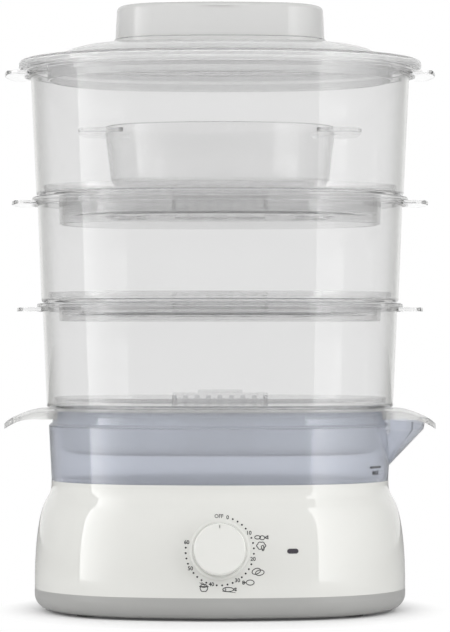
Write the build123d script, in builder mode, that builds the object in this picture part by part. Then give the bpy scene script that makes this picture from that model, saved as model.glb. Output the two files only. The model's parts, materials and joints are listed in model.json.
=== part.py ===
from build123d import *
from math import asin, atan2, copysign, cos, degrees, radians, sin, sqrt
import os

# Electric food steamer: a base that boils water, with a timer, and a stack of three bowls and a lid.
# Millimetres, +Z up, the front towards -Y. The origin is on the standing surface, under the middle.
# Every oval is an offset of one master outline, so its half width alone names it.

os.makedirs("parts", exist_ok=True)

# ---------------------------------------------------------------- driving dimensions
# Master outline of the body: two end arcs joined by two flatter arcs
body_half_width = 133.1
body_half_depth = 99.1
end_radius = 94.1

# Heights of the stack, from the standing surface up
foot_height = 1.5
cover_height = 15.1
housing_height = 76.9
tank_rise = 49.7
drip_rim_thickness = 1.9
bowl_1_height = 74.6
bowl_2_height = 75.8
bowl_3_height = 91.8
lift_gap = 0.3          # between pieces that are lifted off each other
slip = 0.1              # between a plug or screw and its hole
shaft_slip = 0.05       # round the timer's shaft

# Bottom cover and feet
cover_wall = 2.5
cover_corner = 11.0
tongue_height = 3.0
tongue_thickness = 1.5
foot_radius = 9.0
foot_stem_radius = 3.0
foot_inset = 41.1           # along the length, from the body's end to a foot's middle
foot_y = 46.0
vent_length = 26.0
vent_width = 3.0
vent_pitch = 8.0
vent_count = 6

# Base housing
housing_wall = 2.5
dial_inset = 1.3            # from the body's outline in to the wall behind the dial
dial_height = 50.0
shoulder_inset = 7.7
shoulder_drop = 14.5        # from the housing's top to its rounded shoulder
hip_inset = 3.6
hip_drop = 27.5
throat_inset = 12.0
throat_drop = 3.0           # the upright band under the housing's top edge
post_radius = 4.2
post_height = 38.0
post_inset = 18.1           # from the outline to the screw posts
post_x = 57.0
rib_thickness = 2.5
screw_radius = 1.5
screw_head_radius = 3.0
screw_head_height = 1.8
screw_bite = 9.0
boss_height = 5.5
boss_radius = 5.0

# Timer, its knob and the collar round it
dial_tilt = 6.0
collar_radius = 20.9
collar_height = 1.6
pad_depth = 5.5
timer_radius = 19.5
timer_depth = 24.5
timer_screw_reach = 12.0
shaft_radius = 3.0
shaft_flat = 2.4            # from the shaft's axis to its flat
shaft_depth = 13.0          # how far the shaft goes into the timer
knob_radius = 17.7
knob_draft = 0.6
knob_height = 8.6
knob_gap = 0.6
knob_cap = 2.2
knob_edge = 1.5
knob_wall = 1.8
knob_bore_depth = 6.4
hub_radius = 5.5
hub_rib_gap = 2.8
clip_thickness = 0.6
clip_height = 2.0
pointer_length = 3.0
pointer_width = 1.2
pointer_depth = 0.6
bell_radius = 8.7
bell_depth = 8.0
bell_sheet = 1.0
bell_post_radius = 2.5

# Signal lamp
lamp_x = 50.3
lamp_height = 48.6
lens_length = 8.0
lens_width = 3.4
lens_proud = 0.4
lens_flange = 2.0
lens_flange_thickness = 1.2
neon_radius = 2.4
neon_length = 13.0
holder_wall = 1.4

# Mains lead bushing in the back wall
gland_height = 30.0
gland_radius = 7.0
gland_flange_radius = 9.0
gland_flange = 1.6
gland_bore_radius = 3.6

# Water tank and its spout
tank_wall = 2.2
tank_sink = 19.5            # how far the basin goes down inside the housing
basin_inset = 2.1           # between the basin and the housing's wall
tank_setback = 0.2          # from the housing's throat in to the foot of the tank's wall
tank_flare = 2.0
tank_neck_inset = 4.9
tank_neck_height = 8.4
tank_step = 1.7
tank_corner = 7.0
spout_length = 24.7         # from the tank's widest wall out to the tip of the spout
spout_chin_length = 23.5
spout_foot_rise = 10.9      # from the housing's top to the foot of the spout
spout_chin_rise = 36.7
spout_mouth_rise = 43.7
spout_half_depth = 31.0
spout_chin_half_depth = 28.0
spout_foot_half_depth = 8.0
spout_lip_drop = 1.8        # the mouth slopes down outwards by this much
spout_wall = 2.0

# Heater under the tank
heater_opening_radius = 40.0
seal_thickness = 1.2
heater_rim = 6.0
heater_sheet = 1.2
spreader_radius = 36.0
spreader_thickness = 3.0
element_ring_radius = 29.0
element_radius = 3.5
element_leg = 12.0
element_gap = 40.0
terminal_length = 8.0
terminal_width = 6.3
terminal_thickness = 0.8
clamp_radius = 53.0
clamp_thickness = 1.2
clamp_screw_reach = 55.0
clamp_screws = 4
heater_boss_radius = 4.0
thermostat_radius = 8.0
thermostat_height = 8.4
thermostat_flange_radius = 11.0
thermostat_flange = 1.2
fuse_radius = 2.0
fuse_length = 12.0
fuse_y = 17.0
fuse_tip_radius = 0.6
fuse_tip_length = 4.0

# Terminal block on the cover's floor
block_length = 32.0
block_width = 16.0
block_height = 12.0
block_y = 62.0
block_edge = 1.0
block_ways = 3
block_way_radius = 2.0

# Drip tray
drip_rim_overhang = 6.5
drip_wall = 1.6
drip_depth = 30.5
drip_draft = 1.2
neck_gap = 0.6
chimney_radius = 24.0
chimney_height = 19.0
chimney_cap_overhang = 1.5
chimney_windows = 8
window_width = 9.0
window_height = 6.0
window_lintel = 1.4
booster_radius = 20.5
booster_height = 4.0
grip_half_depth = 34.6
grip_length = 30.5          # from the tray's rim out to the tip of its handle
grip_corner_length = 21.5
grip_shoulder_length = 1.5
grip_mid_length = 17.0
grip_root_drop = 0.5        # from the tray's rim to the top of its handle
grip_mid_drop = 3.6
grip_overrun = 3.0          # how far its bent top is drawn past the outline that cuts it
grip_end_drop = 14.6
grip_root_lip = 7.2
grip_mid_lip = 5.2
grip_end_lip = 2.9
grip_sheet = 2.2
grip_lip_wall = 1.8

# Steaming bowls
bowl_wall = 1.8
bowl_1_flare = 3.2
bowl_2_flare = 2.9
bowl_3_flare = 4.3
foot_step = 0.7             # how much wider a bowl's foot is than the mouth that it stands on
rim_overhang = 3.9
rim_sheet = 2.2
rim_lip = 5.9
rim_lip_wall = 1.6
bowl_corner = 2.2
nest_gap = 1.0
nest_draft = 0.6
upper_nest_inset = 11.7     # from the mouth of bowl 1 in to the ring of the bowl above
bowl_1_nest_depth = 13.0
bowl_2_nest_depth = 13.0
bowl_3_nest_depth = 20.0
ear_length = 14.4
ear_thickness = 2.8
ear_bulge = 4.0
ear_corner = 12.0
bowl_1_ear_half_depth = 31.0
bowl_2_ear_half_depth = 32.0
bowl_3_ear_half_depth = 33.0

# Perforated bowl trays
sieve_wall = 1.8
sieve_fit = 0.5             # between a tray's basin and the ring it drops into
sieve_rim_inset = 5.6
sieve_rim_height = 5.4
sieve_corner = 3.0
sieve_1_drop = 2.5          # from the bowl's foot down to the top of the tray's floor
sieve_2_drop = 7.5
sieve_3_drop = 13.0
island_length = 68.0
island_width = 44.0
island_corner = 10.0
island_height = 13.2
slot_width = 4.7
slot_height = 2.4
slot_pitch = 8.2
slot_columns = 8
slot_row_pitch = 4.0
slot_rows = 3
grate_columns = 9
grate_pitch = 18.0
grate_slot_length = 11.0
grate_row_offset = 36.0
grate_row_pitch = 13.0
egg_radius = 15.0
egg_x = 67.0
egg_y = 19.0
egg_ring_height = 2.0
egg_ring_wall = 1.6
tab_length = 32.0
tab_height = 2.0
tab_thickness = 3.0

# Rice bowl: an oval of its own
rice_half_width = 83.0
rice_half_depth = 63.0
rice_end_radius = 58.0
rice_wall = 1.8
rice_height = 47.1
rice_foot_inset = 5.5
rice_corner = 12.0
rice_ring_height = 2.6
rice_ring_length = 52.0
rice_ring_width = 30.0
rice_ring_wall = 2.0
lug_reach = 101.0
lug_half_depth = 38.0
lug_thickness = 3.0
lug_drop = 2.5
lug_corner = 14.0

# Lid and its handle
lid_overhang = 4.4          # of the lid's lip past the rim of bowl 3
lid_wall = 2.0
lid_lip_height = 5.1
lid_edge = 2.6
brim_width = 26.6
brim_rise = 2.3
dome_shoulder_inset = 9.0   # this and the next two from the inner edge of the brim
dome_shoulder_rise = 7.9
dome_crown_inset = 21.0
dome_crown_rise = 10.7
collar_inset = 41.7
dome_rise = 12.1
seat_rib_inset = 6.6
seat_rib_thickness = 2.5
skirt_inset = 20.6
skirt_depth = 9.0
collar_band = 5.0
collar_rise = 3.7
deck_sink = 1.0             # from the top of the dome down to the deck under the handle
handle_setback = 1.1        # from the edge of the collar in to the handle
handle_draft = 1.2
handle_height = 23.7
handle_wall = 2.5
handle_edge = 3.5
handle_groove_length = 40.0
handle_groove_width = 1.2
handle_groove_depth = 0.8
handle_groove_drop = 3.8
handle_screw_x = 48.0
handle_post_radius = 4.0

# ---------------------------------------------------------------- worked out from those
body = (body_half_width, body_half_depth, end_radius)
rice = (rice_half_width, rice_half_depth, rice_end_radius)
depth_less = body_half_width - body_half_depth

cover_bottom = foot_height
housing_bottom = cover_bottom + cover_height
housing_top = housing_bottom + housing_height
tank_top = housing_top + tank_rise
tank_floor = housing_top - tank_sink
drip_rim_bottom = tank_top + lift_gap
drip_top = drip_rim_bottom + drip_rim_thickness
drip_floor = drip_rim_bottom - drip_depth
bowl_1_bottom = drip_top + lift_gap
bowl_2_bottom = bowl_1_bottom + bowl_1_height + lift_gap
bowl_3_bottom = bowl_2_bottom + bowl_2_height + lift_gap
lid_bottom = bowl_3_bottom + bowl_3_height + lift_gap
boss_top = cover_bottom + boss_height

dial_half_width = body_half_width - dial_inset
shoulder_half_width = body_half_width - shoulder_inset
hip_half_width = body_half_width - hip_inset
throat_half_width = body_half_width - throat_inset
tank_foot_half_width = throat_half_width - tank_setback
tank_belly_half_width = tank_foot_half_width + tank_flare
tank_neck_half_width = tank_belly_half_width - tank_neck_inset
drip_rim_half_width = tank_neck_half_width + drip_rim_overhang
neck_inner = tank_neck_half_width - tank_wall
drip_outer = neck_inner - neck_gap
drip_inner = drip_outer - drip_wall
nest_1_half_width = drip_inner - drip_draft - nest_gap + nest_draft


def outline_arcs(master, half_width):
    """Centre, radius, start and sweep of the four arcs of the oval that is this half width."""
    wide, deep, end = master
    flank = ((wide - end) ** 2 + deep**2 - end**2) / (2 * (deep - end))
    half_end = degrees(atan2(flank - deep, wide - end))
    grown = half_width - wide
    for turn in (0, 180):
        side = Vector(wide - end, 0).rotate(Axis.Z, turn)
        yield side, end + grown, turn - half_end, 2 * half_end
        front = Vector(0, flank - deep).rotate(Axis.Z, turn)
        yield front, flank + grown, turn + 180 + half_end, 180 - 2 * half_end


def oval(half_width, height=0, master=body):
    """The face of one oval, level, at a height."""
    with BuildSketch(Plane.XY.offset(height)) as face:
        with BuildLine():
            for centre, radius, start, sweep_angle in outline_arcs(master, half_width):
                CenterArc(centre, radius, start, sweep_angle)
        make_face()
    return face.sketch


def section(*points, rounds=None):
    """A wall's section in half width and height, with some of its corners rounded."""
    with BuildSketch() as cut:
        with BuildLine():
            Polyline(*points, close=True)
        make_face()
        for number, radius in (rounds or {}).items():
            fillet(cut.vertices().sort_by_distance(points[number])[0], radius)
    return cut.sketch


def carry_round(profile, master=body, mode=Mode.ADD):
    """Carry a section round the oval, by turning it about the centre of each of the four arcs."""
    for centre, radius, start, sweep_angle in outline_arcs(master, 0):
        outward = Vector(1, 0).rotate(Axis.Z, start)
        upright = Plane(centre + outward * radius, x_dir=outward, z_dir=outward.rotate(Axis.Z, -90))
        with BuildSketch(upright) as cut:
            add(profile)
        revolve(cut.sketch, Axis(centre, (0, 0, 1)), sweep_angle, mode=mode)


def flank_arc(half_width):
    """Distance of a flatter arc's centre behind the middle, and its radius."""
    radius = list(outline_arcs(body, half_width))[1][1]
    return radius - (half_width - depth_less), radius


def flank_y(half_width, x):
    """How far out the oval's flatter arc is at this x."""
    behind, radius = flank_arc(half_width)
    return sqrt(radius**2 - x**2) - behind


def save(piece, name):
    """Label a finished piece and write it."""
    piece.part.label = name
    export_step(piece.part, f"parts/{name}.step")


# ---------------------------------------------------------------- bottom cover
post_half_width = body_half_width - post_inset
post_y = flank_y(post_half_width, post_x)
post_places = [(side * post_half_width, 0) for side in (-1, 1)]
post_places += [(sx * post_x, sy * post_y) for sx in (-1, 1) for sy in (-1, 1)]
foot_places = [(sx * (body_half_width - foot_inset), sy * foot_y) for sx in (-1, 1) for sy in (-1, 1)]
cover_inner = body_half_width - cover_wall
tongue_outer = body_half_width - housing_wall - slip
tongue_inner = tongue_outer - tongue_thickness
cover_floor_half_width = body_half_width - cover_corner - cover_wall

with BuildPart() as bottom_cover:
    carry_round(
        section(
            (cover_floor_half_width, cover_bottom),
            (body_half_width, cover_bottom),
            (body_half_width, housing_bottom),
            (tongue_outer, housing_bottom),
            (tongue_outer, housing_bottom + tongue_height),
            (tongue_inner, housing_bottom + tongue_height),
            (tongue_inner, housing_bottom - tongue_thickness),
            (cover_inner, housing_bottom - 2 * tongue_thickness),
            (cover_inner, cover_bottom + cover_wall),
            (cover_floor_half_width, cover_bottom + cover_wall),
            rounds={1: cover_corner, 8: cover_corner - 2 * cover_wall},
        )
    )
    extrude(oval(cover_floor_half_width, cover_bottom), amount=cover_wall)
    with BuildSketch(Plane.XY.offset(cover_bottom)) as bosses:
        with Locations(*post_places):
            Circle(boss_radius)
    extrude(amount=boss_height)
    with BuildSketch(Plane.XY.offset(cover_bottom)) as head_wells:
        with Locations(*post_places):
            Circle(screw_head_radius + 2 * slip)
    extrude(amount=boss_height / 2, mode=Mode.SUBTRACT)
    with BuildSketch(Plane.XY.offset(cover_bottom)) as floor_holes:
        with Locations(*post_places):
            Circle(screw_radius + slip)
        with Locations(*foot_places):
            Circle(foot_stem_radius + slip)
        with GridLocations(0, vent_pitch, 1, vent_count):
            SlotOverall(vent_length, vent_width)
    extrude(amount=boss_height, mode=Mode.SUBTRACT)
save(bottom_cover, "bottom_cover")

with BuildPart() as rubber_feet:
    with BuildSketch() as pads:
        with Locations(*foot_places):
            Circle(foot_radius)
    extrude(amount=foot_height)
    chamfer(rubber_feet.edges().group_by(Axis.Z)[0], foot_height / 3)
    with BuildSketch() as stems:
        with Locations(*foot_places):
            Circle(foot_stem_radius)
    extrude(amount=foot_height + cover_wall + foot_height)
save(rubber_feet, "rubber_feet")

with BuildPart() as cover_screws:
    head_seat = cover_bottom + boss_height / 2
    with BuildSketch(Plane.XY.offset(head_seat - screw_head_height)) as heads:
        with Locations(*post_places):
            Circle(screw_head_radius)
    extrude(amount=screw_head_height)
    with BuildSketch(Plane.XY.offset(head_seat)) as shanks:
        with Locations(*post_places):
            Circle(screw_radius)
    extrude(amount=boss_top - head_seat + screw_bite)
save(cover_screws, "cover_screws")

# ---------------------------------------------------------------- base housing
dial_face = Plane(
    (0, -(dial_half_width - depth_less), dial_height),
    x_dir=(1, 0, 0),
    z_dir=(0, -cos(radians(dial_tilt)), sin(radians(dial_tilt))),
)
dial_axis = Axis(dial_face.origin, dial_face.z_dir)
lamp_turn = asin(lamp_x / flank_arc(dial_half_width)[1])
lamp_face = Plane(
    (lamp_x, -flank_y(dial_half_width, lamp_x), lamp_height),
    x_dir=(cos(lamp_turn), sin(lamp_turn), 0),
    z_dir=(
        sin(lamp_turn) * cos(radians(dial_tilt)),
        -cos(lamp_turn) * cos(radians(dial_tilt)),
        sin(radians(dial_tilt)),
    ),
)
gland_wall_y = flank_y(body_half_width, 0)
gland_face = Plane((0, gland_wall_y, gland_height), x_dir=(-1, 0, 0), z_dir=(0, 1, 0))
timer_screw_places = [(-timer_screw_reach, 0), (timer_screw_reach, 0)]

with BuildSketch() as housing_section:
    outside = [
        (body_half_width, housing_bottom),
        (dial_half_width, dial_height),
        (hip_half_width, housing_top - hip_drop),
        (shoulder_half_width, housing_top - shoulder_drop),
        (throat_half_width, housing_top - throat_drop),
    ]
    inside = [(across - housing_wall, up) for across, up in outside]
    with BuildLine():
        Spline(*outside, tangents=((0, 1), (0, 1)))
        Polyline(outside[-1], (throat_half_width, housing_top))
        Line((throat_half_width, housing_top), (throat_half_width - housing_wall, housing_top))
        Line((throat_half_width - housing_wall, housing_top), inside[-1])
        Spline(*inside, tangents=((0, 1), (0, 1)))
        Line(inside[0], outside[0])
    make_face()

with BuildPart() as base_housing:
    carry_round(housing_section.sketch)
    with BuildSketch(Plane.XY.offset(boss_top)) as posts:
        with Locations(*post_places):
            Circle(post_radius)
    extrude(amount=post_height - boss_height)
    rib_bottom = housing_bottom + tongue_height + lift_gap
    rib_end = body_half_width - housing_wall / 2
    with BuildSketch(Plane.XY.offset(rib_bottom)) as ribs:
        for x, y in post_places:
            reach = flank_y(rib_end, x) if y else rib_end
            inner = abs(y) or abs(x)
            middle = (inner + reach) / 2
            with Locations((x, copysign(middle, y)) if y else (copysign(middle, x), 0)):
                Rectangle(reach - inner, rib_thickness, rotation=90 if y else 0)
    extrude(amount=cover_bottom + post_height - rib_bottom)
    with BuildSketch(Plane.XY.offset(boss_top)) as pilots:
        with Locations(*post_places):
            Circle(screw_radius + shaft_slip)
    extrude(amount=screw_bite + screw_radius, mode=Mode.SUBTRACT)
    with BuildSketch(dial_face.offset(-pad_depth)) as pad:
        Circle(collar_radius)
    extrude(amount=pad_depth)
    with BuildSketch(dial_face) as collar:
        Circle(collar_radius)
    extrude(amount=collar_height, taper=45)
    with BuildSketch(dial_face.offset(-pad_depth)) as dial_holes:
        Circle(shaft_radius + 5 * slip)
        with Locations(*timer_screw_places):
            Circle(screw_radius + slip)
    extrude(amount=pad_depth + collar_height, mode=Mode.SUBTRACT)
    with BuildSketch(lamp_face.offset(-2 * housing_wall)) as lamp_window:
        SlotOverall(lens_length, lens_width)
    extrude(amount=3 * housing_wall, mode=Mode.SUBTRACT)
    with BuildSketch(gland_face.offset(-2 * housing_wall)) as lead_hole:
        Circle(gland_radius)
    extrude(amount=3 * housing_wall, mode=Mode.SUBTRACT)
save(base_housing, "base_housing")

# ---------------------------------------------------------------- lead bushing and terminal block
with BuildPart() as cord_gland:
    with BuildSketch(gland_face.offset(lift_gap)) as outer_flange:
        Circle(gland_flange_radius)
    extrude(amount=gland_flange)
    with BuildSketch(gland_face.offset(lift_gap)) as barrel:
        Circle(gland_radius - slip)
    extrude(amount=-(lift_gap + 2 * housing_wall + 2 * gland_flange))
    with BuildSketch(gland_face.offset(-housing_wall - gland_flange)) as lock_ring:
        Circle(gland_flange_radius)
    extrude(amount=-gland_flange)
    with BuildSketch(gland_face.offset(lift_gap + gland_flange)) as lead_bore:
        Circle(gland_bore_radius)
    extrude(amount=-(2 * lift_gap + 2 * housing_wall + 4 * gland_flange), mode=Mode.SUBTRACT)
save(cord_gland, "cord_gland")

block_floor = cover_bottom + cover_wall
with BuildPart() as terminal_block:
    with BuildSketch(Plane.XY.offset(block_floor)) as block_body:
        with Locations((0, block_y)):
            Rectangle(block_length, block_width)
    extrude(amount=block_height)
    fillet(terminal_block.edges().filter_by(Axis.Z), block_edge)
    with BuildSketch(Plane.XY.offset(block_floor + block_height)) as clamp_screws_wells:
        with Locations((0, block_y)):
            with GridLocations(block_length / block_ways, block_width / 2, block_ways, 2):
                Circle(block_way_radius)
    extrude(amount=-block_height / 2, mode=Mode.SUBTRACT)
save(terminal_block, "terminal_block")

# ---------------------------------------------------------------- signal lamp
lens_back = housing_wall + slip
with BuildPart() as lamp_lens:
    with BuildSketch(lamp_face.offset(-lens_back)) as lens_plug:
        SlotOverall(lens_length - 2 * slip, lens_width - 2 * slip)
    extrude(amount=lens_back + lens_proud)
    with BuildSketch(lamp_face.offset(-lens_back)) as lens_back_flange:
        SlotOverall(lens_length + 2 * lens_flange, lens_width + 2 * lens_flange)
    extrude(amount=-lens_flange_thickness)
save(lamp_lens, "lamp_lens")

holder_front = lens_back + lens_flange_thickness
with BuildPart() as lamp_holder:
    with BuildSketch(lamp_face.offset(-holder_front)) as sleeve:
        Circle(neon_radius + shaft_slip + holder_wall)
        Circle(neon_radius + shaft_slip, mode=Mode.SUBTRACT)
    extrude(amount=-neon_length)
save(lamp_holder, "lamp_holder")

with BuildPart() as signal_lamp:
    with BuildSketch(lamp_face.offset(-holder_front - lift_gap)) as neon:
        Circle(neon_radius)
    extrude(amount=-(neon_length + holder_wall))
    fillet(signal_lamp.edges().filter_by(GeomType.CIRCLE), neon_radius / 3)
save(signal_lamp, "signal_lamp")

# ---------------------------------------------------------------- timer and knob
timer_back = pad_depth + timer_depth
shaft_front = collar_height + knob_gap + knob_bore_depth
knob_bottom = collar_height + knob_gap

with BuildPart() as timer_case:
    with BuildSketch(dial_face.offset(-pad_depth)) as case_outline:
        Circle(timer_radius)
    extrude(amount=-timer_depth)
    with BuildSketch(dial_face.offset(-pad_depth)) as case_bores:
        Circle(shaft_radius + shaft_slip)
        with Locations(*timer_screw_places):
            Circle(screw_radius + shaft_slip)
    extrude(amount=-(shaft_depth + screw_radius), mode=Mode.SUBTRACT)
    with BuildSketch(dial_face.offset(-timer_back)) as tabs:
        with PolarLocations(timer_radius - terminal_width, 3, 30):
            Rectangle(terminal_thickness, terminal_width)
    extrude(amount=-terminal_length)
save(timer_case, "timer_case")

with BuildPart() as timer_screws:
    with BuildSketch(dial_face.offset(collar_height)) as timer_heads:
        with Locations(*timer_screw_places):
            Circle(screw_head_radius)
    extrude(amount=screw_head_height)
    with BuildSketch(dial_face.offset(collar_height)) as timer_shanks:
        with Locations(*timer_screw_places):
            Circle(screw_radius)
    extrude(amount=-(collar_height + pad_depth + screw_bite))
save(timer_screws, "timer_screws")

with BuildPart() as timer_bell:
    with BuildSketch(dial_face.offset(-timer_back)) as bell_post:
        Circle(bell_post_radius)
    extrude(amount=-(bell_depth + bell_sheet))
    with BuildSketch(dial_face.offset(-timer_back - bell_depth)) as bell_top:
        Circle(bell_radius)
    extrude(amount=-bell_sheet)
    with BuildSketch(dial_face.offset(-timer_back - bell_depth)) as bell_side:
        Circle(bell_radius)
        Circle(bell_radius - bell_sheet, mode=Mode.SUBTRACT)
    extrude(amount=bell_depth / 2)
save(timer_bell, "timer_bell")

with BuildPart() as timer_shaft:
    with BuildSketch(dial_face.offset(-pad_depth - shaft_depth)) as rod:
        Circle(shaft_radius)
    extrude(amount=pad_depth + shaft_depth + shaft_front)
    with BuildSketch(dial_face.offset(knob_bottom)) as flat:
        with Locations((0, shaft_flat + shaft_radius)):
            Rectangle(2 * shaft_radius, 2 * shaft_radius)
    extrude(amount=shaft_front, mode=Mode.SUBTRACT)
save(timer_shaft, "timer_shaft")

with BuildPart() as timer_knob:
    with BuildSketch(dial_face.offset(knob_bottom)) as knob_outline:
        Circle(knob_radius + knob_draft)
    extrude(amount=knob_height, taper=degrees(atan2(knob_draft, knob_height)))
    fillet(timer_knob.edges().filter_by(GeomType.CIRCLE).sort_by(dial_axis)[-1], knob_edge)
    with BuildSketch(dial_face.offset(knob_bottom)) as underside:
        Circle(knob_radius - knob_wall)
    extrude(amount=knob_height - knob_cap, mode=Mode.SUBTRACT)
    with BuildSketch(dial_face.offset(knob_bottom)) as hub:
        Circle(hub_radius)
    extrude(amount=knob_height - knob_cap)
    with BuildSketch(dial_face.offset(knob_bottom + hub_rib_gap)) as knob_ribs:
        with PolarLocations((hub_radius + knob_radius - knob_wall) / 2, 4, 45):
            Rectangle(knob_radius - knob_wall - hub_radius + 2 * slip, knob_wall / 2)
    extrude(amount=knob_height - knob_cap - hub_rib_gap)
    with BuildSketch(dial_face.offset(knob_bottom)) as shaft_socket:
        Circle(shaft_radius + shaft_slip)
        with Locations((0, shaft_flat + shaft_slip + shaft_radius)):
            Rectangle(2 * shaft_radius, 2 * shaft_radius, mode=Mode.SUBTRACT)
    extrude(amount=knob_bore_depth + slip, mode=Mode.SUBTRACT)
    with BuildSketch(dial_face.offset(knob_bottom + knob_height)) as pointer:
        with Locations((0, knob_radius - pointer_length / 2)):
            Rectangle(pointer_width, pointer_length + knob_edge)
    extrude(amount=-pointer_depth, mode=Mode.SUBTRACT)
save(timer_knob, "timer_knob")

with BuildPart() as knob_clip:
    with BuildSketch(dial_face.offset(knob_bottom + slip)) as clip_ring:
        Circle(hub_radius + shaft_slip + clip_thickness)
        Circle(hub_radius + shaft_slip, mode=Mode.SUBTRACT)
        with Locations((0, -hub_radius)):
            Rectangle(hub_radius, hub_radius, mode=Mode.SUBTRACT)
    extrude(amount=clip_height)
save(knob_clip, "knob_clip")

# ---------------------------------------------------------------- water tank
basin_half_width = throat_half_width - housing_wall - basin_inset
tank_ledge = tank_top - tank_neck_height
tank_ledge_half_width = tank_belly_half_width - tank_step
spout_foot = housing_top + spout_foot_rise
spout_mouth = housing_top + spout_mouth_rise
spout_tip = tank_belly_half_width + spout_length
spout_stations = [
    (spout_foot, tank_foot_half_width + tank_wall / 2, spout_foot_half_depth),
    (housing_top + spout_chin_rise, tank_belly_half_width + spout_chin_length, spout_chin_half_depth),
    (spout_mouth, spout_tip, spout_half_depth),
]


def spout_block(root, inset):
    """A funnel through the spout's three levels, each a strip with a round end."""
    with BuildPart() as block:
        for level, reach, half_depth in spout_stations:
            across = half_depth - inset
            with BuildSketch(Plane.XY.offset(level)) as strip:
                with BuildLine():
                    Line((root, across), (root, -across))
                    Line((root, -across), (reach - inset - across / 3, -across))
                    ThreePointArc(
                        (reach - inset - across / 3, -across),
                        (reach - inset, 0),
                        (reach - inset - across / 3, across),
                    )
                    Line((reach - inset - across / 3, across), (root, across))
                make_face()
        loft(ruled=True)
    return block.part


with BuildPart() as water_tank:
    carry_round(
        section(
            (basin_half_width - 4 * tank_corner, tank_floor),
            (basin_half_width, tank_floor),
            (basin_half_width, housing_top),
            (tank_foot_half_width, housing_top),
            (tank_belly_half_width, tank_ledge - tank_step),
            (tank_ledge_half_width, tank_ledge),
            (tank_neck_half_width, tank_top),
            (neck_inner, tank_top),
            (tank_ledge_half_width - tank_wall, tank_ledge - tank_wall / 2),
            (tank_belly_half_width - tank_wall, tank_ledge - tank_step - tank_wall / 2),
            (tank_foot_half_width - tank_wall, housing_top + tank_wall),
            (basin_half_width - tank_wall, housing_top + tank_wall),
            (basin_half_width - tank_wall, tank_floor + tank_wall),
            (basin_half_width - 4 * tank_corner, tank_floor + tank_wall),
            rounds={1: tank_corner, 12: tank_corner - tank_wall},
        )
    )
    with BuildSketch(Plane.XY.offset(tank_floor)) as tank_base:
        add(oval(basin_half_width - 4 * tank_corner))
        Circle(heater_opening_radius, mode=Mode.SUBTRACT)
    extrude(amount=tank_wall)
    with BuildSketch(Plane.XY.offset(tank_floor)) as heater_bosses:
        with PolarLocations(clamp_screw_reach, clamp_screws, 45):
            Circle(heater_boss_radius)
    extrude(amount=-(seal_thickness + heater_sheet))
    with BuildSketch(Plane.XY.offset(tank_floor - seal_thickness - heater_sheet)) as heater_pilots:
        with PolarLocations(clamp_screw_reach, clamp_screws, 45):
            Circle(screw_radius + shaft_slip)
    extrude(amount=seal_thickness + heater_sheet + tank_wall / 2, mode=Mode.SUBTRACT)
    add(spout_block(tank_neck_half_width - tank_wall / 2, 0))
    add(spout_block(tank_foot_half_width, spout_wall), mode=Mode.SUBTRACT)
    inlet_start = tank_neck_half_width - 4 * tank_wall
    with BuildSketch(Plane.YZ.offset(inlet_start)) as inlet:
        with BuildLine():
            Polyline(
                (-spout_foot_half_depth, spout_foot + 3 * spout_wall),
                (spout_foot_half_depth, spout_foot + 3 * spout_wall),
                (spout_chin_half_depth - 3 * spout_wall, tank_ledge - 3 * tank_wall),
                (3 * spout_wall - spout_chin_half_depth, tank_ledge - 3 * tank_wall),
                close=True,
            )
        make_face()
    extrude(amount=tank_belly_half_width - inlet_start, mode=Mode.SUBTRACT)
    with BuildSketch(Plane.XZ) as mouth_slope:
        with BuildLine():
            Polyline(
                (tank_ledge_half_width, spout_mouth),
                (spout_tip, spout_mouth - spout_lip_drop),
                (spout_tip + spout_wall, spout_mouth + spout_wall),
                (tank_ledge_half_width, spout_mouth + spout_wall),
                close=True,
            )
        make_face()
    extrude(amount=2 * spout_half_depth, both=True, mode=Mode.SUBTRACT)
save(water_tank, "water_tank")

# ---------------------------------------------------------------- heater
seal_bottom = tank_floor - seal_thickness
plate_bottom = seal_bottom - heater_sheet
spreader_bottom = plate_bottom - spreader_thickness
element_level = spreader_bottom - element_radius
plate_radius = heater_opening_radius + heater_rim

with BuildPart() as heater_seal:
    with BuildSketch(Plane.XY.offset(seal_bottom)) as seal_ring:
        Circle(plate_radius)
        Circle(heater_opening_radius, mode=Mode.SUBTRACT)
    extrude(amount=seal_thickness)
save(heater_seal, "heater_seal")

with BuildPart() as heater_plate:
    with BuildSketch(Plane.XY.offset(plate_bottom)) as plate_disc:
        Circle(plate_radius)
    extrude(amount=heater_sheet)
save(heater_plate, "heater_plate")

with BuildPart() as heat_spreader:
    with BuildSketch(Plane.XY.offset(spreader_bottom)) as spreader_disc:
        Circle(spreader_radius)
    extrude(amount=spreader_thickness)
    chamfer(heat_spreader.edges().group_by(Axis.Z)[0], spreader_thickness / 3)
save(heat_spreader, "heat_spreader")

with BuildPart() as heater_clamp:
    with BuildSketch(Plane.XY.offset(plate_bottom)) as clamp_ring:
        Circle(clamp_radius)
        with PolarLocations(clamp_screw_reach, clamp_screws, 45):
            Circle(heater_boss_radius)
        Circle(spreader_radius + heater_boss_radius, mode=Mode.SUBTRACT)
        with PolarLocations(clamp_screw_reach, clamp_screws, 45):
            Circle(screw_radius + slip, mode=Mode.SUBTRACT)
    extrude(amount=-clamp_thickness)
save(heater_clamp, "heater_clamp")

with BuildPart() as heater_screws:
    clamp_bottom = plate_bottom - clamp_thickness
    with BuildSketch(Plane.XY.offset(clamp_bottom)) as clamp_heads:
        with PolarLocations(clamp_screw_reach, clamp_screws, 45):
            Circle(screw_head_radius)
    extrude(amount=-screw_head_height)
    with BuildSketch(Plane.XY.offset(clamp_bottom)) as clamp_shanks:
        with PolarLocations(clamp_screw_reach, clamp_screws, 45):
            Circle(screw_radius)
    extrude(amount=clamp_thickness + seal_thickness + heater_sheet + tank_wall / 2 - slip)
save(heater_screws, "heater_screws")

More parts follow.
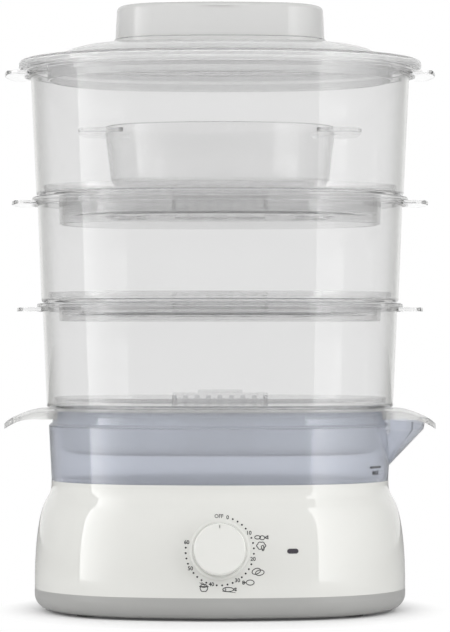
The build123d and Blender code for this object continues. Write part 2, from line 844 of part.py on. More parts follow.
element_ends = [
    Vector(element_ring_radius, 0).rotate(Axis.Z, -90 + side * element_gap / 2) for side in (-1, 1)
]
with BuildPart() as heating_element:
    with BuildLine(Plane.XY.offset(element_level)) as ring_path:
        CenterArc((0, 0), element_ring_radius, -90 + element_gap / 2, 360 - element_gap)
    with BuildSketch(Plane(ring_path.line @ 0, z_dir=ring_path.line % 0)) as tube:
        Circle(element_radius)
    sweep()
    with Locations(*[(end.X, end.Y, element_level) for end in element_ends]):
        Sphere(element_radius)
    with BuildSketch(Plane.XY.offset(element_level)) as legs:
        with Locations(*[(end.X, end.Y) for end in element_ends]):
            Circle(element_radius)
    extrude(amount=-element_leg)
save(heating_element, "heating_element")

with BuildPart() as element_terminals:
    with BuildSketch(Plane.XY.offset(element_level - element_leg)) as blades:
        with Locations(*[(end.X, end.Y) for end in element_ends]):
            Rectangle(terminal_width, terminal_thickness)
    extrude(amount=-terminal_length)
save(element_terminals, "element_terminals")

with BuildPart() as thermostat:
    with BuildSketch(Plane.XY.offset(spreader_bottom)) as thermostat_foot:
        Circle(thermostat_flange_radius)
    extrude(amount=-thermostat_flange)
    with BuildSketch(Plane.XY.offset(spreader_bottom)) as thermostat_can:
        Circle(thermostat_radius)
    extrude(amount=-thermostat_height)
    with BuildSketch(Plane.XY.offset(spreader_bottom - thermostat_height)) as thermostat_tabs:
        with GridLocations(thermostat_radius, 0, 2, 1):
            Rectangle(terminal_thickness, terminal_width)
    extrude(amount=-terminal_length)
save(thermostat, "thermostat")

with BuildPart() as thermal_fuse:
    fuse_level = spreader_bottom - fuse_radius
    with BuildSketch(Plane((0, fuse_y, fuse_level), z_dir=(1, 0, 0))) as fuse_can:
        Circle(fuse_radius)
    extrude(amount=fuse_length / 2, both=True)
    with BuildSketch(Plane((0, fuse_y, fuse_level), z_dir=(1, 0, 0))) as fuse_leads:
        Circle(fuse_tip_radius)
    extrude(amount=fuse_length / 2 + fuse_tip_length, both=True)
save(thermal_fuse, "thermal_fuse")

# ---------------------------------------------------------------- drip tray
chimney_top = drip_floor + drip_wall + chimney_height
grip_tip = drip_rim_half_width + grip_length
grip_corner = drip_rim_half_width + grip_corner_length
grip_top_line = [
    (0, grip_root_drop),
    (drip_rim_half_width + grip_shoulder_length, grip_root_drop),
    (drip_rim_half_width + grip_mid_length, grip_mid_drop),
    (grip_tip + grip_overrun, grip_end_drop),
]
grip_lips = [grip_root_lip, grip_root_lip, grip_mid_lip, grip_end_lip]


def grip_block(sheet, inset):
    """The handle's whole form, or what hollows it out: under a bent top and inside a bowed outline."""
    over = [(x, drip_top - drop - sheet) for x, drop in grip_top_line]
    under = [(x, up - lip) for (x, up), lip in zip(over, grip_lips)]
    with BuildPart() as block:
        with BuildSketch(Plane.XZ):
            with BuildLine():
                Line(over[0], over[1])
                ThreePointArc(over[1], over[2], over[3])
                Line(over[3], under[3])
                ThreePointArc(under[3], under[2], under[1])
                Polyline(under[1], under[0], over[0])
            make_face()
        extrude(amount=2 * grip_half_depth, both=True)
        with BuildSketch(Plane.XY) as outline:
            with BuildLine():
                Polyline(
                    (grip_corner - inset, -(grip_half_depth - inset)),
                    (0, -(grip_half_depth - inset)),
                    (0, grip_half_depth - inset),
                    (grip_corner - inset, grip_half_depth - inset),
                )
                ThreePointArc(
                    (grip_corner - inset, grip_half_depth - inset),
                    (grip_tip - inset, 0),
                    (grip_corner - inset, -(grip_half_depth - inset)),
                )
            make_face()
            fillet(outline.vertices().group_by(Axis.X)[-1], grip_root_lip - inset)
            add(oval(drip_rim_half_width - grip_lip_wall + inset), mode=Mode.SUBTRACT)
        extrude(amount=2 * drip_top, mode=Mode.INTERSECT)
    return block.part


with BuildPart() as grip:
    add(grip_block(0, 0))
    add(grip_block(grip_sheet, grip_lip_wall), mode=Mode.SUBTRACT)

with BuildPart() as drip_tray:
    carry_round(
        section(
            (drip_inner - 4 * tank_corner, drip_floor),
            (drip_outer - drip_draft, drip_floor),
            (drip_outer, drip_rim_bottom),
            (drip_rim_half_width, drip_rim_bottom),
            (drip_rim_half_width, drip_top),
            (drip_inner, drip_top),
            (drip_inner - drip_draft, drip_floor + drip_wall),
            (drip_inner - 4 * tank_corner, drip_floor + drip_wall),
            rounds={1: tank_corner, 6: tank_corner - drip_wall},
        )
    )
    extrude(oval(drip_inner - 4 * tank_corner, drip_floor), amount=drip_wall)
    with BuildSketch(Plane.XY.offset(drip_floor)) as chimney:
        Circle(chimney_radius)
    extrude(amount=drip_wall + chimney_height)
    with BuildSketch(Plane.XY.offset(chimney_top)) as chimney_cap:
        Circle(chimney_radius + chimney_cap_overhang)
    extrude(amount=-drip_wall)
    with BuildSketch(Plane.XY.offset(drip_floor)) as flue:
        Circle(chimney_radius - drip_wall)
    extrude(amount=chimney_height, mode=Mode.SUBTRACT)
    with BuildSketch(Plane.XY.offset(chimney_top - drip_wall - window_lintel)) as windows:
        with PolarLocations(chimney_radius - drip_wall / 2, chimney_windows):
            Rectangle(2 * drip_wall, window_width)
    extrude(amount=-window_height, mode=Mode.SUBTRACT)
    with BuildSketch(Plane.XY.offset(chimney_top)) as booster:
        Circle(booster_radius)
        Circle(booster_radius - drip_wall, mode=Mode.SUBTRACT)
    extrude(amount=booster_height)
    add(grip.part)
    add(grip.part.mirror(Plane.YZ))
save(drip_tray, "drip_tray")


# ---------------------------------------------------------------- steaming bowls and their trays
def make_bowl(name, bottom, height, foot, mouth, nest, nest_depth, ear_half_depth):
    """An open wall that flares up to a lipped rim with two ears, on a shelf and a ring that nests."""
    top = bottom + height
    rim = mouth + rim_overhang
    with BuildPart() as bowl:
        carry_round(
            section(
                (nest - nest_draft, bottom - nest_depth),
                (nest, bottom),
                (foot, bottom),
                (mouth, top - rim_sheet),
                (rim - rim_lip_wall, top - rim_sheet),
                (rim - rim_lip_wall, top - rim_lip),
                (rim, top - rim_lip),
                (rim, top),
                (mouth - bowl_wall, top),
                (foot - bowl_wall, bottom + bowl_wall),
                (nest - bowl_wall, bottom + bowl_wall),
                (nest - nest_draft - bowl_wall, bottom - nest_depth),
                rounds={2: bowl_corner},
            )
        )
        reach = rim + ear_length
        with BuildSketch(Plane.XY.offset(top - rim_lip)) as ears:
            with BuildLine():
                for side in (-1, 1):
                    ThreePointArc(
                        (side * (reach - ear_bulge), -ear_half_depth),
                        (side * reach, 0),
                        (side * (reach - ear_bulge), ear_half_depth),
                    )
                    Line(
                        (ear_bulge - reach, side * ear_half_depth),
                        (reach - ear_bulge, side * ear_half_depth),
                    )
            make_face()
            fillet(ears.vertices(), ear_corner)
            add(oval(rim - rim_lip_wall / 2), mode=Mode.SUBTRACT)
        extrude(amount=ear_thickness)
    save(bowl, name)


def make_sieve(name, bottom, foot, nest, drop):
    """A tray that hangs in a bowl's ring by its rim, with a raised slotted island and egg rings."""
    floor = bottom - drop
    seat = bottom + bowl_wall + lift_gap
    rim = foot - sieve_rim_inset
    basin = nest - nest_draft - bowl_wall - sieve_fit
    island_top = floor + island_height
    with BuildPart() as sieve:
        carry_round(
            section(
                (basin - 3 * sieve_corner, floor - sieve_wall),
                (basin, floor - sieve_wall),
                (basin, seat),
                (rim, seat),
                (rim + sieve_fit, seat + sieve_rim_height),
                (rim + sieve_fit - sieve_wall, seat + sieve_rim_height),
                (rim - sieve_wall, seat + sieve_wall),
                (basin - sieve_wall, seat + sieve_wall),
                (basin - sieve_wall, floor),
                (basin - 3 * sieve_corner, floor),
                rounds={1: sieve_corner, 8: sieve_corner / 2},
            )
        )
        extrude(oval(basin - 3 * sieve_corner, floor), amount=-sieve_wall)
        with BuildSketch(Plane.XY.offset(floor - sieve_wall)) as island:
            RectangleRounded(island_length, island_width, island_corner)
        extrude(amount=sieve_wall + island_height)
        with BuildSketch(Plane.XY.offset(floor - sieve_wall)) as hollow:
            RectangleRounded(
                island_length - 2 * sieve_wall,
                island_width - 2 * sieve_wall,
                island_corner - sieve_wall,
            )
        extrude(amount=island_height, mode=Mode.SUBTRACT)
        slot_level = island_top - sieve_wall - slot_height / 2 - (slot_rows - 1) / 2 * slot_row_pitch
        with BuildSketch(Plane.XZ) as slots:
            with Locations((0, slot_level)):
                with GridLocations(slot_pitch, slot_row_pitch, slot_columns, slot_rows):
                    Rectangle(slot_width, slot_height)
        extrude(amount=island_width, both=True, mode=Mode.SUBTRACT)
        with BuildSketch(Plane.XY.offset(floor)) as egg_rings:
            with GridLocations(2 * egg_x, 2 * egg_y, 2, 2):
                Circle(egg_radius + egg_ring_wall)
        extrude(amount=egg_ring_height)
        with BuildSketch(Plane.XY.offset(floor - sieve_wall)) as openings:
            with GridLocations(2 * egg_x, 2 * egg_y, 2, 2):
                Circle(egg_radius)
            for side in (-1, 1):
                with Locations((0, side * (grate_row_offset + grate_row_pitch / 2))):
                    with GridLocations(grate_pitch, grate_row_pitch, grate_columns, 2):
                        Rectangle(grate_slot_length, slot_width)
        extrude(amount=sieve_wall + egg_ring_height, mode=Mode.SUBTRACT)
        with BuildSketch(Plane.XY.offset(island_top)) as tab:
            Rectangle(tab_length, tab_thickness)
        extrude(amount=tab_height)
    save(sieve, name)


bowl_1_mouth = drip_rim_half_width + bowl_1_flare
bowl_2_mouth = bowl_1_mouth + foot_step + bowl_2_flare
bowl_3_mouth = bowl_2_mouth + foot_step + bowl_3_flare
upper_nest_half_width = bowl_1_mouth - upper_nest_inset

bottoms = [bowl_1_bottom, bowl_2_bottom, bowl_3_bottom]
heights = [bowl_1_height, bowl_2_height, bowl_3_height]
feet = [drip_rim_half_width, bowl_1_mouth + foot_step, bowl_2_mouth + foot_step]
mouths = [bowl_1_mouth, bowl_2_mouth, bowl_3_mouth]
nests = [nest_1_half_width, upper_nest_half_width, upper_nest_half_width]
nest_depths = [bowl_1_nest_depth, bowl_2_nest_depth, bowl_3_nest_depth]
ear_half_depths = [bowl_1_ear_half_depth, bowl_2_ear_half_depth, bowl_3_ear_half_depth]
sieve_drops = [sieve_1_drop, sieve_2_drop, sieve_3_drop]

bowl_sizes = zip(bottoms, heights, feet, mouths, nests, nest_depths, ear_half_depths)
for number, sizes in enumerate(bowl_sizes, start=1):
    make_bowl(f"steaming_bowl_{number}", *sizes)
for number, sizes in enumerate(zip(bottoms, feet, nests, sieve_drops), start=1):
    make_sieve(f"bowl_tray_{number}", *sizes)

# ---------------------------------------------------------------- rice bowl
island_3_top = bowl_3_bottom - sieve_3_drop + island_height
rice_ring_bottom = island_3_top + lift_gap
rice_floor = rice_ring_bottom + rice_ring_height
rice_top = rice_floor + rice_height

with BuildPart() as rice_bowl:
    carry_round(
        section(
            (rice_half_width - 2 * rice_corner, rice_floor),
            (rice_half_width - rice_foot_inset, rice_floor),
            (rice_half_width, rice_top),
            (rice_half_width - rice_wall, rice_top),
            (rice_half_width - rice_foot_inset - rice_wall, rice_floor + rice_wall),
            (rice_half_width - 2 * rice_corner, rice_floor + rice_wall),
            rounds={1: rice_corner, 4: rice_corner - rice_wall},
        ),
        master=rice,
    )
    extrude(oval(rice_half_width - 2 * rice_corner, rice_floor, rice), amount=rice_wall)
    with BuildSketch(Plane.XY.offset(rice_ring_bottom)) as foot_ring:
        RectangleRounded(rice_ring_length, rice_ring_width, island_corner)
        RectangleRounded(
            rice_ring_length - 2 * rice_ring_wall,
            rice_ring_width - 2 * rice_ring_wall,
            island_corner - rice_ring_wall,
            mode=Mode.SUBTRACT,
        )
    extrude(amount=rice_ring_height)
    with BuildSketch(Plane.XY.offset(rice_top - lug_drop - lug_thickness)) as lugs:
        RectangleRounded(2 * lug_reach, 2 * lug_half_depth, lug_corner)
        add(oval(rice_half_width - rice_wall / 2, 0, rice), mode=Mode.SUBTRACT)
    extrude(amount=lug_thickness)
save(rice_bowl, "rice_bowl")

# ---------------------------------------------------------------- lid
lid_half_width = bowl_3_mouth + rim_overhang + lid_overhang
brim_half_width = lid_half_width - brim_width
seat_rib_half_width = lid_half_width - seat_rib_inset
skirt_half_width = lid_half_width - skirt_inset
collar_half_width = brim_half_width - collar_inset
handle_half_width = collar_half_width - handle_setback
brim_edge = lid_bottom + lid_lip_height
brim_inner = brim_edge + brim_rise
dome_top = brim_edge + dome_rise
deck_top = dome_top - deck_sink
collar_top = dome_top + collar_rise
collar_inner = collar_half_width - collar_band
screw_places = [(-handle_screw_x, 0), (handle_screw_x, 0)]
dome_points = [
    (brim_half_width, brim_inner),
    (brim_half_width - dome_shoulder_inset, brim_edge + dome_shoulder_rise),
    (brim_half_width - dome_crown_inset, brim_edge + dome_crown_rise),
    (collar_half_width, dome_top),
]

skirt_inner = skirt_half_width - lid_wall
lip_inner = lid_half_width - lid_wall
rib_inner = seat_rib_half_width - seat_rib_thickness
brim_slope = brim_rise / brim_width


def under_brim(half_width):
    """A point on the underside of the brim."""
    return half_width, brim_edge - lid_wall + (lid_half_width - half_width) * brim_slope


with BuildSketch() as lid_section:
    with BuildLine():
        Polyline(
            dome_points[0],
            (lid_half_width, brim_edge),
            (lid_half_width, lid_bottom),
            (lip_inner, lid_bottom),
            under_brim(lip_inner),
            under_brim(seat_rib_half_width),
            (seat_rib_half_width, lid_bottom),
            (rib_inner, lid_bottom),
            under_brim(rib_inner),
            under_brim(skirt_half_width),
            (skirt_half_width, lid_bottom - skirt_depth),
            (skirt_inner, lid_bottom - skirt_depth),
            under_brim(skirt_inner),
            (brim_half_width - lid_wall, brim_inner - lid_wall),
        )
        Spline(*[(across - lid_wall, up - lid_wall) for across, up in dome_points])
        Polyline(
            (collar_half_width - lid_wall, dome_top - lid_wall),
            (collar_inner, deck_top - lid_wall),
            (collar_inner, collar_top),
            (collar_half_width, collar_top),
            dome_points[-1],
        )
        Spline(*dome_points[::-1])
    make_face()
    fillet(lid_section.vertices().sort_by_distance((lid_half_width, brim_edge))[0], lid_edge)

with BuildPart() as lid_shell:
    carry_round(lid_section.sketch)
    extrude(oval(collar_inner, deck_top), amount=-lid_wall)
    with BuildSketch(Plane.XY.offset(deck_top)) as deck_holes:
        with Locations(*screw_places):
            Circle(screw_radius + slip)
    extrude(amount=-lid_wall, mode=Mode.SUBTRACT)
save(lid_shell, "lid_shell")

handle_top = collar_top + handle_height
draft_angle = degrees(atan2(handle_draft, handle_height))
groove_y = handle_half_width - depth_less - handle_draft * (1 - handle_groove_drop / handle_height)
with BuildPart() as lid_handle:
    extrude(oval(handle_half_width, collar_top), amount=handle_height, taper=draft_angle)
    fillet(lid_handle.faces().sort_by(Axis.Z)[-1].edges(), handle_edge)
    extrude(
        oval(handle_half_width - handle_wall, collar_top),
        amount=handle_height - handle_wall,
        taper=draft_angle,
        mode=Mode.SUBTRACT,
    )
    with BuildSketch(Plane.XY.offset(deck_top)) as handle_posts:
        with Locations(*screw_places):
            Circle(handle_post_radius)
    extrude(amount=handle_top - handle_wall - deck_top)
    with BuildSketch(Plane.XY.offset(deck_top)) as handle_pilots:
        with Locations(*screw_places):
            Circle(screw_radius + shaft_slip)
    extrude(amount=screw_bite + screw_radius, mode=Mode.SUBTRACT)
    with BuildSketch(Plane.XZ.offset(groove_y - handle_groove_depth)) as front_groove:
        with Locations((0, handle_top - handle_groove_drop)):
            SlotOverall(handle_groove_length, handle_groove_width)
    extrude(amount=2 * handle_groove_depth, mode=Mode.SUBTRACT)
save(lid_handle, "lid_handle")

with BuildPart() as handle_screws:
    deck_bottom = deck_top - lid_wall
    with BuildSketch(Plane.XY.offset(deck_bottom)) as handle_screw_heads:
        with Locations(*screw_places):
            Circle(screw_head_radius)
    extrude(amount=-screw_head_height)
    with BuildSketch(Plane.XY.offset(deck_bottom)) as handle_screw_shanks:
        with Locations(*screw_places):
            Circle(screw_radius)
    extrude(amount=lid_wall + screw_bite)
save(handle_screws, "handle_screws")
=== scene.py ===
import json
import math

import bpy
import numpy as np
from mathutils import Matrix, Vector


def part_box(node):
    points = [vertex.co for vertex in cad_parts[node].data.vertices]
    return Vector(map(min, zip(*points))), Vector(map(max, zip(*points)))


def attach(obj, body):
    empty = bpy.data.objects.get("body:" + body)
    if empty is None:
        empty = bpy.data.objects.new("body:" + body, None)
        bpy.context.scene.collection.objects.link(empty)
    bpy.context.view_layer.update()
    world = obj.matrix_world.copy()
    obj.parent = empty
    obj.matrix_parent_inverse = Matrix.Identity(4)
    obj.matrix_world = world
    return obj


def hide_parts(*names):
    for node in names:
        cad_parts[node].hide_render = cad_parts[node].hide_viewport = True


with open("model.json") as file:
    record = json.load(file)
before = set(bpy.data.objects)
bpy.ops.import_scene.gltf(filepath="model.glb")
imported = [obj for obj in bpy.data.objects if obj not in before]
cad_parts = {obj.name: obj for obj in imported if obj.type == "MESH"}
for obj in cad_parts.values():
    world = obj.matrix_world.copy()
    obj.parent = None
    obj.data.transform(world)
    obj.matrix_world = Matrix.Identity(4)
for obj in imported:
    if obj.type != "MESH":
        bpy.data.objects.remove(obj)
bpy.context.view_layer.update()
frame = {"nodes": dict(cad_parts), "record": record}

# Shapes are worked out in millimetres, in the frame of the solids, and go into the meshes as metres.
MM = 0.001

# ---------------------------------------------------------------- sizes that the solids share
BODY = (133.1, 99.1, 94.1)      # master oval of the body: half width, half depth, radius of its ends
RICE = (83.0, 63.0, 58.0)       # the same of the rice bowl
LIFT_GAP = 0.3
BOWL_WALL = 1.8
RIM_OVERHANG = 3.9
RIM_SHEET = 2.2
RIM_LIP = 5.9
RIM_LIP_WALL = 1.6
EAR_THICKNESS = 2.8
EAR_BULGE = 4.0
EAR_CORNER = 12.0
FOOT_STEP = 0.7
NEST_DRAFT = 0.6
LID_WALL = 2.0
LID_LIP = 5.1
BRIM_WIDTH = 26.6
BRIM_RISE = 2.3
SEAT_RIB_INSET = 6.6
SEAT_RIB = 2.5
SKIRT_INSET = 20.6
SKIRT_DEPTH = 9.0
COLLAR_INSET = 41.7
COLLAR_BAND = 5.0
COLLAR_RISE = 3.7
DOME_RISE = 12.1
DECK_SINK = 1.0
RICE_WALL = 1.8
RICE_FOOT_INSET = 5.5
RICE_CORNER = 12.0
RICE_RING = 2.6
LUG_HALF_DEPTH = 38.0
LUG_THICKNESS = 3.0
LUG_DROP = 2.5
LUG_BULGE = 0.6
LUG_CORNER = 14.0
LUG_SINK = 0.3                  # by which an ear or a lug starts inside the wall that carries it
RING_HALF_LENGTH = 26.0         # of the ring that the rice bowl stands on
RING_HALF_WIDTH = 15.0
RING_CORNER = 10.0
RING_WALL = 2.0
NESTS = (112.0, 116.0, 116.0)   # half widths of the rings under bowls 1 to 3
EAR_HALF_DEPTHS = (31.0, 32.0, 33.0)
DOME_SHOULDER = (9.0, 7.9)      # in from the brim's inner edge, and up from its outer edge
DOME_CROWN = (21.0, 10.7)
DECK_CORE = 50.0                # half width of the flat face that shuts the deck
DIAL_HEIGHT = 50.0
POINTER_DEPTH = 0.6             # of the groove in the knob's face
SCALE_HEIGHT = 49.0             # of the printed scale's centre, a little below the knob's axis
PAINTED_LIGHT_BAND = 0.1                     # by which the pale band of painted light stands in and out of the collar's face
PAINTED_LIGHT_BAND_STOP = 0.8                # from the collar's top edge down to the band of painted light


def span(node):
    """Lowest and highest corner of a solid at rest, in millimetres."""
    low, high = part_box(node)
    return np.array(low) / MM, np.array(high) / MM


def placed(name, data):
    """A new object in the scene with this mesh, lamp or camera."""
    made = bpy.data.objects.new(name, data)
    bpy.context.scene.collection.objects.link(made)
    return made


def half_width(half_depth):
    """Half width of the body's oval that is this deep: the two differ by the same amount in every oval."""
    return half_depth + BODY[0] - BODY[1]


# ---------------------------------------------------------------- materials
WHITE = (1.0, 1.0, 1.0, 1.0)


def linear(code):
    """An sRGB hex colour as linear red, green, blue and alpha."""
    value = np.array([int(code[i : i + 2], 16) for i in (1, 3, 5)]) / 255
    value = np.where(value <= 0.04045, value / 12.92, ((value + 0.055) / 1.055) ** 2.4)
    return (*value.tolist(), 1.0)


def add(tree, kind, inputs=None, **settings):
    """Adds a node with its settings; an input is a value, or the socket that feeds it."""
    made = tree.nodes.new(kind)
    for name, value in settings.items():
        setattr(made, name, value)
    for name, value in (inputs or {}).items():
        if isinstance(value, bpy.types.NodeSocket):
            tree.links.new(value, made.inputs[name])
        else:
            made.inputs[name].default_value = value
    return made


def blank(name):
    """A material with an empty node tree."""
    material = bpy.data.materials.new(name)
    material.use_nodes = True
    material.node_tree.nodes.clear()
    return material, material.node_tree


def speckle(tree, place, size_mm, detail=3.0):
    """A soft noise from 0 to 1 whose spots are about this many millimetres apart."""
    made = add(tree, "ShaderNodeTexNoise", {"Vector": place, "Scale": 1 / (size_mm * MM), "Detail": detail})
    return made.outputs["Fac"]


def between(tree, value, low, high):
    """A value from 0 to 1 spread between two numbers."""
    return add(tree, "ShaderNodeMapRange", {"Value": value, "To Min": low, "To Max": high}).outputs[0]


def blended(tree, value, dark, light):
    """A colour between two hex colours, by a value from 0 to 1."""
    ramp = add(tree, "ShaderNodeValToRGB", {"Fac": value})
    ramp.color_ramp.elements[0].color = linear(dark)
    ramp.color_ramp.elements[1].color = linear(light)
    return ramp.outputs["Color"]


def mixed(tree, share, first, second):
    """A colour that goes from the first to the second as the share goes from 0 to 1."""
    return add(tree, "ShaderNodeMix", {0: share, 6: first, 7: second}, data_type="RGBA").outputs[2]


def moulded(name, dark, light, roughness, ior, grain_mm, relief_mm, drift_mm=60.0, **clear):
    """A moulded plastic: its colour drifts slowly between two close ones, and a fine relief breaks its gloss.

    A clear one also gets through, the share that is see-through while the rest is milky. It may get gloss
    and bounce, the tints of its mirror image from outside and from within, and slant, the colour where it
    is seen slantwise and the way through it is long. Level faces are painted white instead, with no slant
    and no tint: a painted lightening that keeps stacked rims and the lid's flat faces pale.
    """
    material, tree = blank(name)
    place = add(tree, "ShaderNodeTexCoord").outputs["Object"]
    grain = speckle(tree, place, grain_mm)
    bump = add(tree, "ShaderNodeBump", {"Height": grain, "Distance": relief_mm * MM}).outputs["Normal"]
    colour = blended(tree, speckle(tree, place, drift_mm, 2.0), dark, light)
    if "slant" in clear:
        facing = add(tree, "ShaderNodeLayerWeight", {"Blend": 0.5}).outputs["Facing"]
        edge = add(
            tree,
            "ShaderNodeMapRange",
            {"Value": facing, "From Min": 0.45, "From Max": 0.9},
            interpolation_type="SMOOTHSTEP",
        ).outputs[0]
        slanted = mixed(tree, edge, colour, linear(clear["slant"]))
        # Painted light: faces that lie level get a plain white colour, so rims and flat tops look lit and
        # pale
        normal = add(tree, "ShaderNodeNewGeometry").outputs["Normal"]
        upward = add(tree, "ShaderNodeSeparateXYZ", {"Vector": normal}).outputs["Z"]
        tilt = add(tree, "ShaderNodeMath", {0: upward}, operation="ABSOLUTE").outputs[0]
        level_painted_light = add(tree, "ShaderNodeMapRange", {"Value": tilt, "From Min": 0.2, "From Max": 0.7}).outputs[0]
        colour = mixed(tree, level_painted_light, slanted, WHITE)
    gloss = WHITE
    if "gloss" in clear:
        inside = add(tree, "ShaderNodeNewGeometry").outputs["Backfacing"]
        within = linear(clear["bounce"]) if "bounce" in clear else WHITE
        gloss = mixed(tree, inside, linear(clear["gloss"]), within)
    shader = add(
        tree,
        "ShaderNodeBsdfPrincipled",
        {
            "Base Color": colour,
            "Roughness": between(tree, grain, 0.8 * roughness, 1.2 * roughness),
            "IOR": ior,
            "Transmission Weight": clear.get("through", 0.0),
            "Specular Tint": gloss,
            "Normal": bump,
        },
    ).outputs["BSDF"]
    if "through" in clear:
        rays = add(tree, "ShaderNodeLightPath").outputs
        let_by = add(tree, "ShaderNodeBsdfTransparent", {"Color": linear(light)}).outputs["BSDF"]
        for ray in ("Is Diffuse Ray", "Is Shadow Ray"):
            shader = add(tree, "ShaderNodeMixShader", {0: rays[ray], 1: shader, 2: let_by}).outputs["Shader"]
    add(tree, "ShaderNodeOutputMaterial", {"Surface": shader})
    return material


def metal(name, colour, roughness, grain_mm):
    """A bare metal with a fine uneven polish."""
    material, tree = blank(name)
    grain = speckle(tree, add(tree, "ShaderNodeTexCoord").outputs["Object"], grain_mm)
    shader = add(
        tree,
        "ShaderNodeBsdfPrincipled",
        {
            "Base Color": linear(colour),
            "Metallic": 1.0,
            "Roughness": between(tree, grain, 0.7 * roughness, 1.3 * roughness),
        },
    ).outputs["BSDF"]
    add(tree, "ShaderNodeOutputMaterial", {"Surface": shader})
    return material


FINISHES = {
    # Polished ABS: a warm white skin, near flat, that mirrors the lamps with crisp edges
    "housing_white": moulded("polished_abs_warm_white", "#DEDEDA", "#E2E2DE", 0.03, 1.54, 9.0, 0.002),
    # Satin ABS: the same resin from a finely blasted mould, so that its highlights spread
    "skirt_grey": moulded("satin_abs_grey", "#A4A4A2", "#ACACAA", 0.30, 1.54, 0.8, 0.012),
    "knob_white": moulded("satin_abs_knob_white", "#E4E4E0", "#E8E8E4", 0.25, 1.54, 1.6, 0.004),
    # Tinted polypropylene: cloudy lavender grey that lets light through but blurs what is behind it
    "tank_tint": moulded(
        "tinted_polypropylene", "#DCDFE6", "#E0E3EA", 0.14, 1.49, 6.0, 0.0006, 80.0, through=0.8
    ),
    # Natural polypropylene: milky, soft to the light
    "drip_white": moulded(
        "natural_polypropylene", "#EEEEED", "#F2F2F1", 0.2, 1.49, 2.5, 0.003, through=0.85, gloss="#A0A0A0"
    ),
    # Styrene acrylonitrile: glassy and faintly grey, straight from polished steel
    "bowl_clear": moulded(
        "polished_san", "#EEEEEE", "#F1F1F1", 0.03, 1.57, 12.0, 0.001, 70.0,
        through=1.0, gloss="#404040", bounce="#B8B8B8", slant="#B8B8B5",
    ),
    "tray_clear": moulded(
        "polished_san_tray", "#F6F6F6", "#FAFAFA", 0.06, 1.57, 6.0, 0.0006,
        through=0.9, gloss="#B0B0B0", slant="#E4E4E3",
    ),
    # Hazy SAN: a light texture on one face, so that it glows softly rather than shows through
    "rice_clear": moulded(
        "hazy_san_rice_bowl", "#F5F5F5", "#F9F9F9", 0.12, 1.57, 3.0, 0.002,
        through=1.0, gloss="#808080", slant="#DEDEDD",
    ),
    # Its slant switches on the painted white of level faces, a painted lightening over most of the lid
    "lid_clear": moulded(
        "hazy_san_lid", "#F4F4F4", "#F7F7F7", 0.16, 1.57, 12.0, 0.0002,
        through=0.9, gloss="#A0A0A0", slant="#F4F4F4",
    ),
    "handle_grey": moulded("satin_abs_pale_grey", "#D6D6D5", "#DBDBDA", 0.22, 1.54, 2.0, 0.004),
    "foot_rubber": moulded("moulded_rubber_grey", "#525252", "#5C5C5C", 0.7, 1.52, 0.6, 0.05),
    "seal_silicone": moulded("moulded_silicone", "#CECAC6", "#D6D2CE", 0.5, 1.41, 1.0, 0.02),
    "plate_steel": metal("brushed_stainless_steel", "#C8C6C2", 0.30, 0.5),
    "zinc_steel": metal("zinc_plated_steel", "#BEBEBA", 0.35, 0.8),
    "spreader_aluminium": metal("cast_aluminium", "#C9C9CB", 0.45, 0.6),
    "element_steel": metal("annealed_steel", "#7C7874", 0.40, 0.8),
    "terminal_brass": metal("tinned_brass", "#C8B478", 0.30, 0.8),
    "inner_plastic": moulded("moulded_polyamide_black", "#262628", "#2E2E30", 0.45, 1.53, 0.8, 0.02),
    "block_plastic": moulded("moulded_polyamide_cream", "#D8D8CE", "#E0E0D6", 0.45, 1.53, 0.8, 0.02),
    "lens_clear": moulded("smoked_polycarbonate", "#3E3A40", "#48444A", 0.08, 1.58, 2.0, 0.002),
    "neon_glass": moulded("soda_glass", "#F0D0C4", "#F4D8CC", 0.03, 1.52, 3.0, 0.002, through=1.0),
}
# Screen ink: dark grey, matt, a hair's breadth proud
INK = moulded("screen_ink_dark_grey", "#2A2A2C", "#323234", 0.5, 1.5, 0.4, 0.004)

for part in frame["record"]["subparts"]:
    mesh = frame["nodes"][part["node"]].data
    mesh.materials.clear()
    mesh.materials.append(FINISHES[part["material_slot"]])


# ---------------------------------------------------------------- surfaces
def around(master, end_steps=56, flank_steps=30):
    """Core points and ways out round an oval; an oval of any half width is core + way out x half width.

    The oval is two end arcs and two flatter arcs that meet them without a kink. On each arc a point is
    the arc's centre + way out x (the arc's radius - the master's half width + the half width asked for).
    """
    wide, deep, end = master
    far = ((wide - end) ** 2 + deep**2 - end**2) / (2 * (deep - end))
    bend = math.atan2(far - deep, wide - end)
    arcs = [
        (wide - end, 0, end, -bend, bend, end_steps),
        (0, deep - far, far, bend, math.pi - bend, flank_steps),
        (end - wide, 0, end, math.pi - bend, math.pi + bend, end_steps),
        (0, far - deep, far, math.pi + bend, 2 * math.pi - bend, flank_steps),
    ]
    core, out = [], []
    for x, y, radius, first, last, steps in arcs:
        angle = np.linspace(first, last, steps, endpoint=False)
        way = np.stack([np.cos(angle), np.sin(angle)], axis=1)
        core.append((x, y) + way * (radius - wide))
        out.append(way)
    return np.concatenate(core), np.concatenate(out)


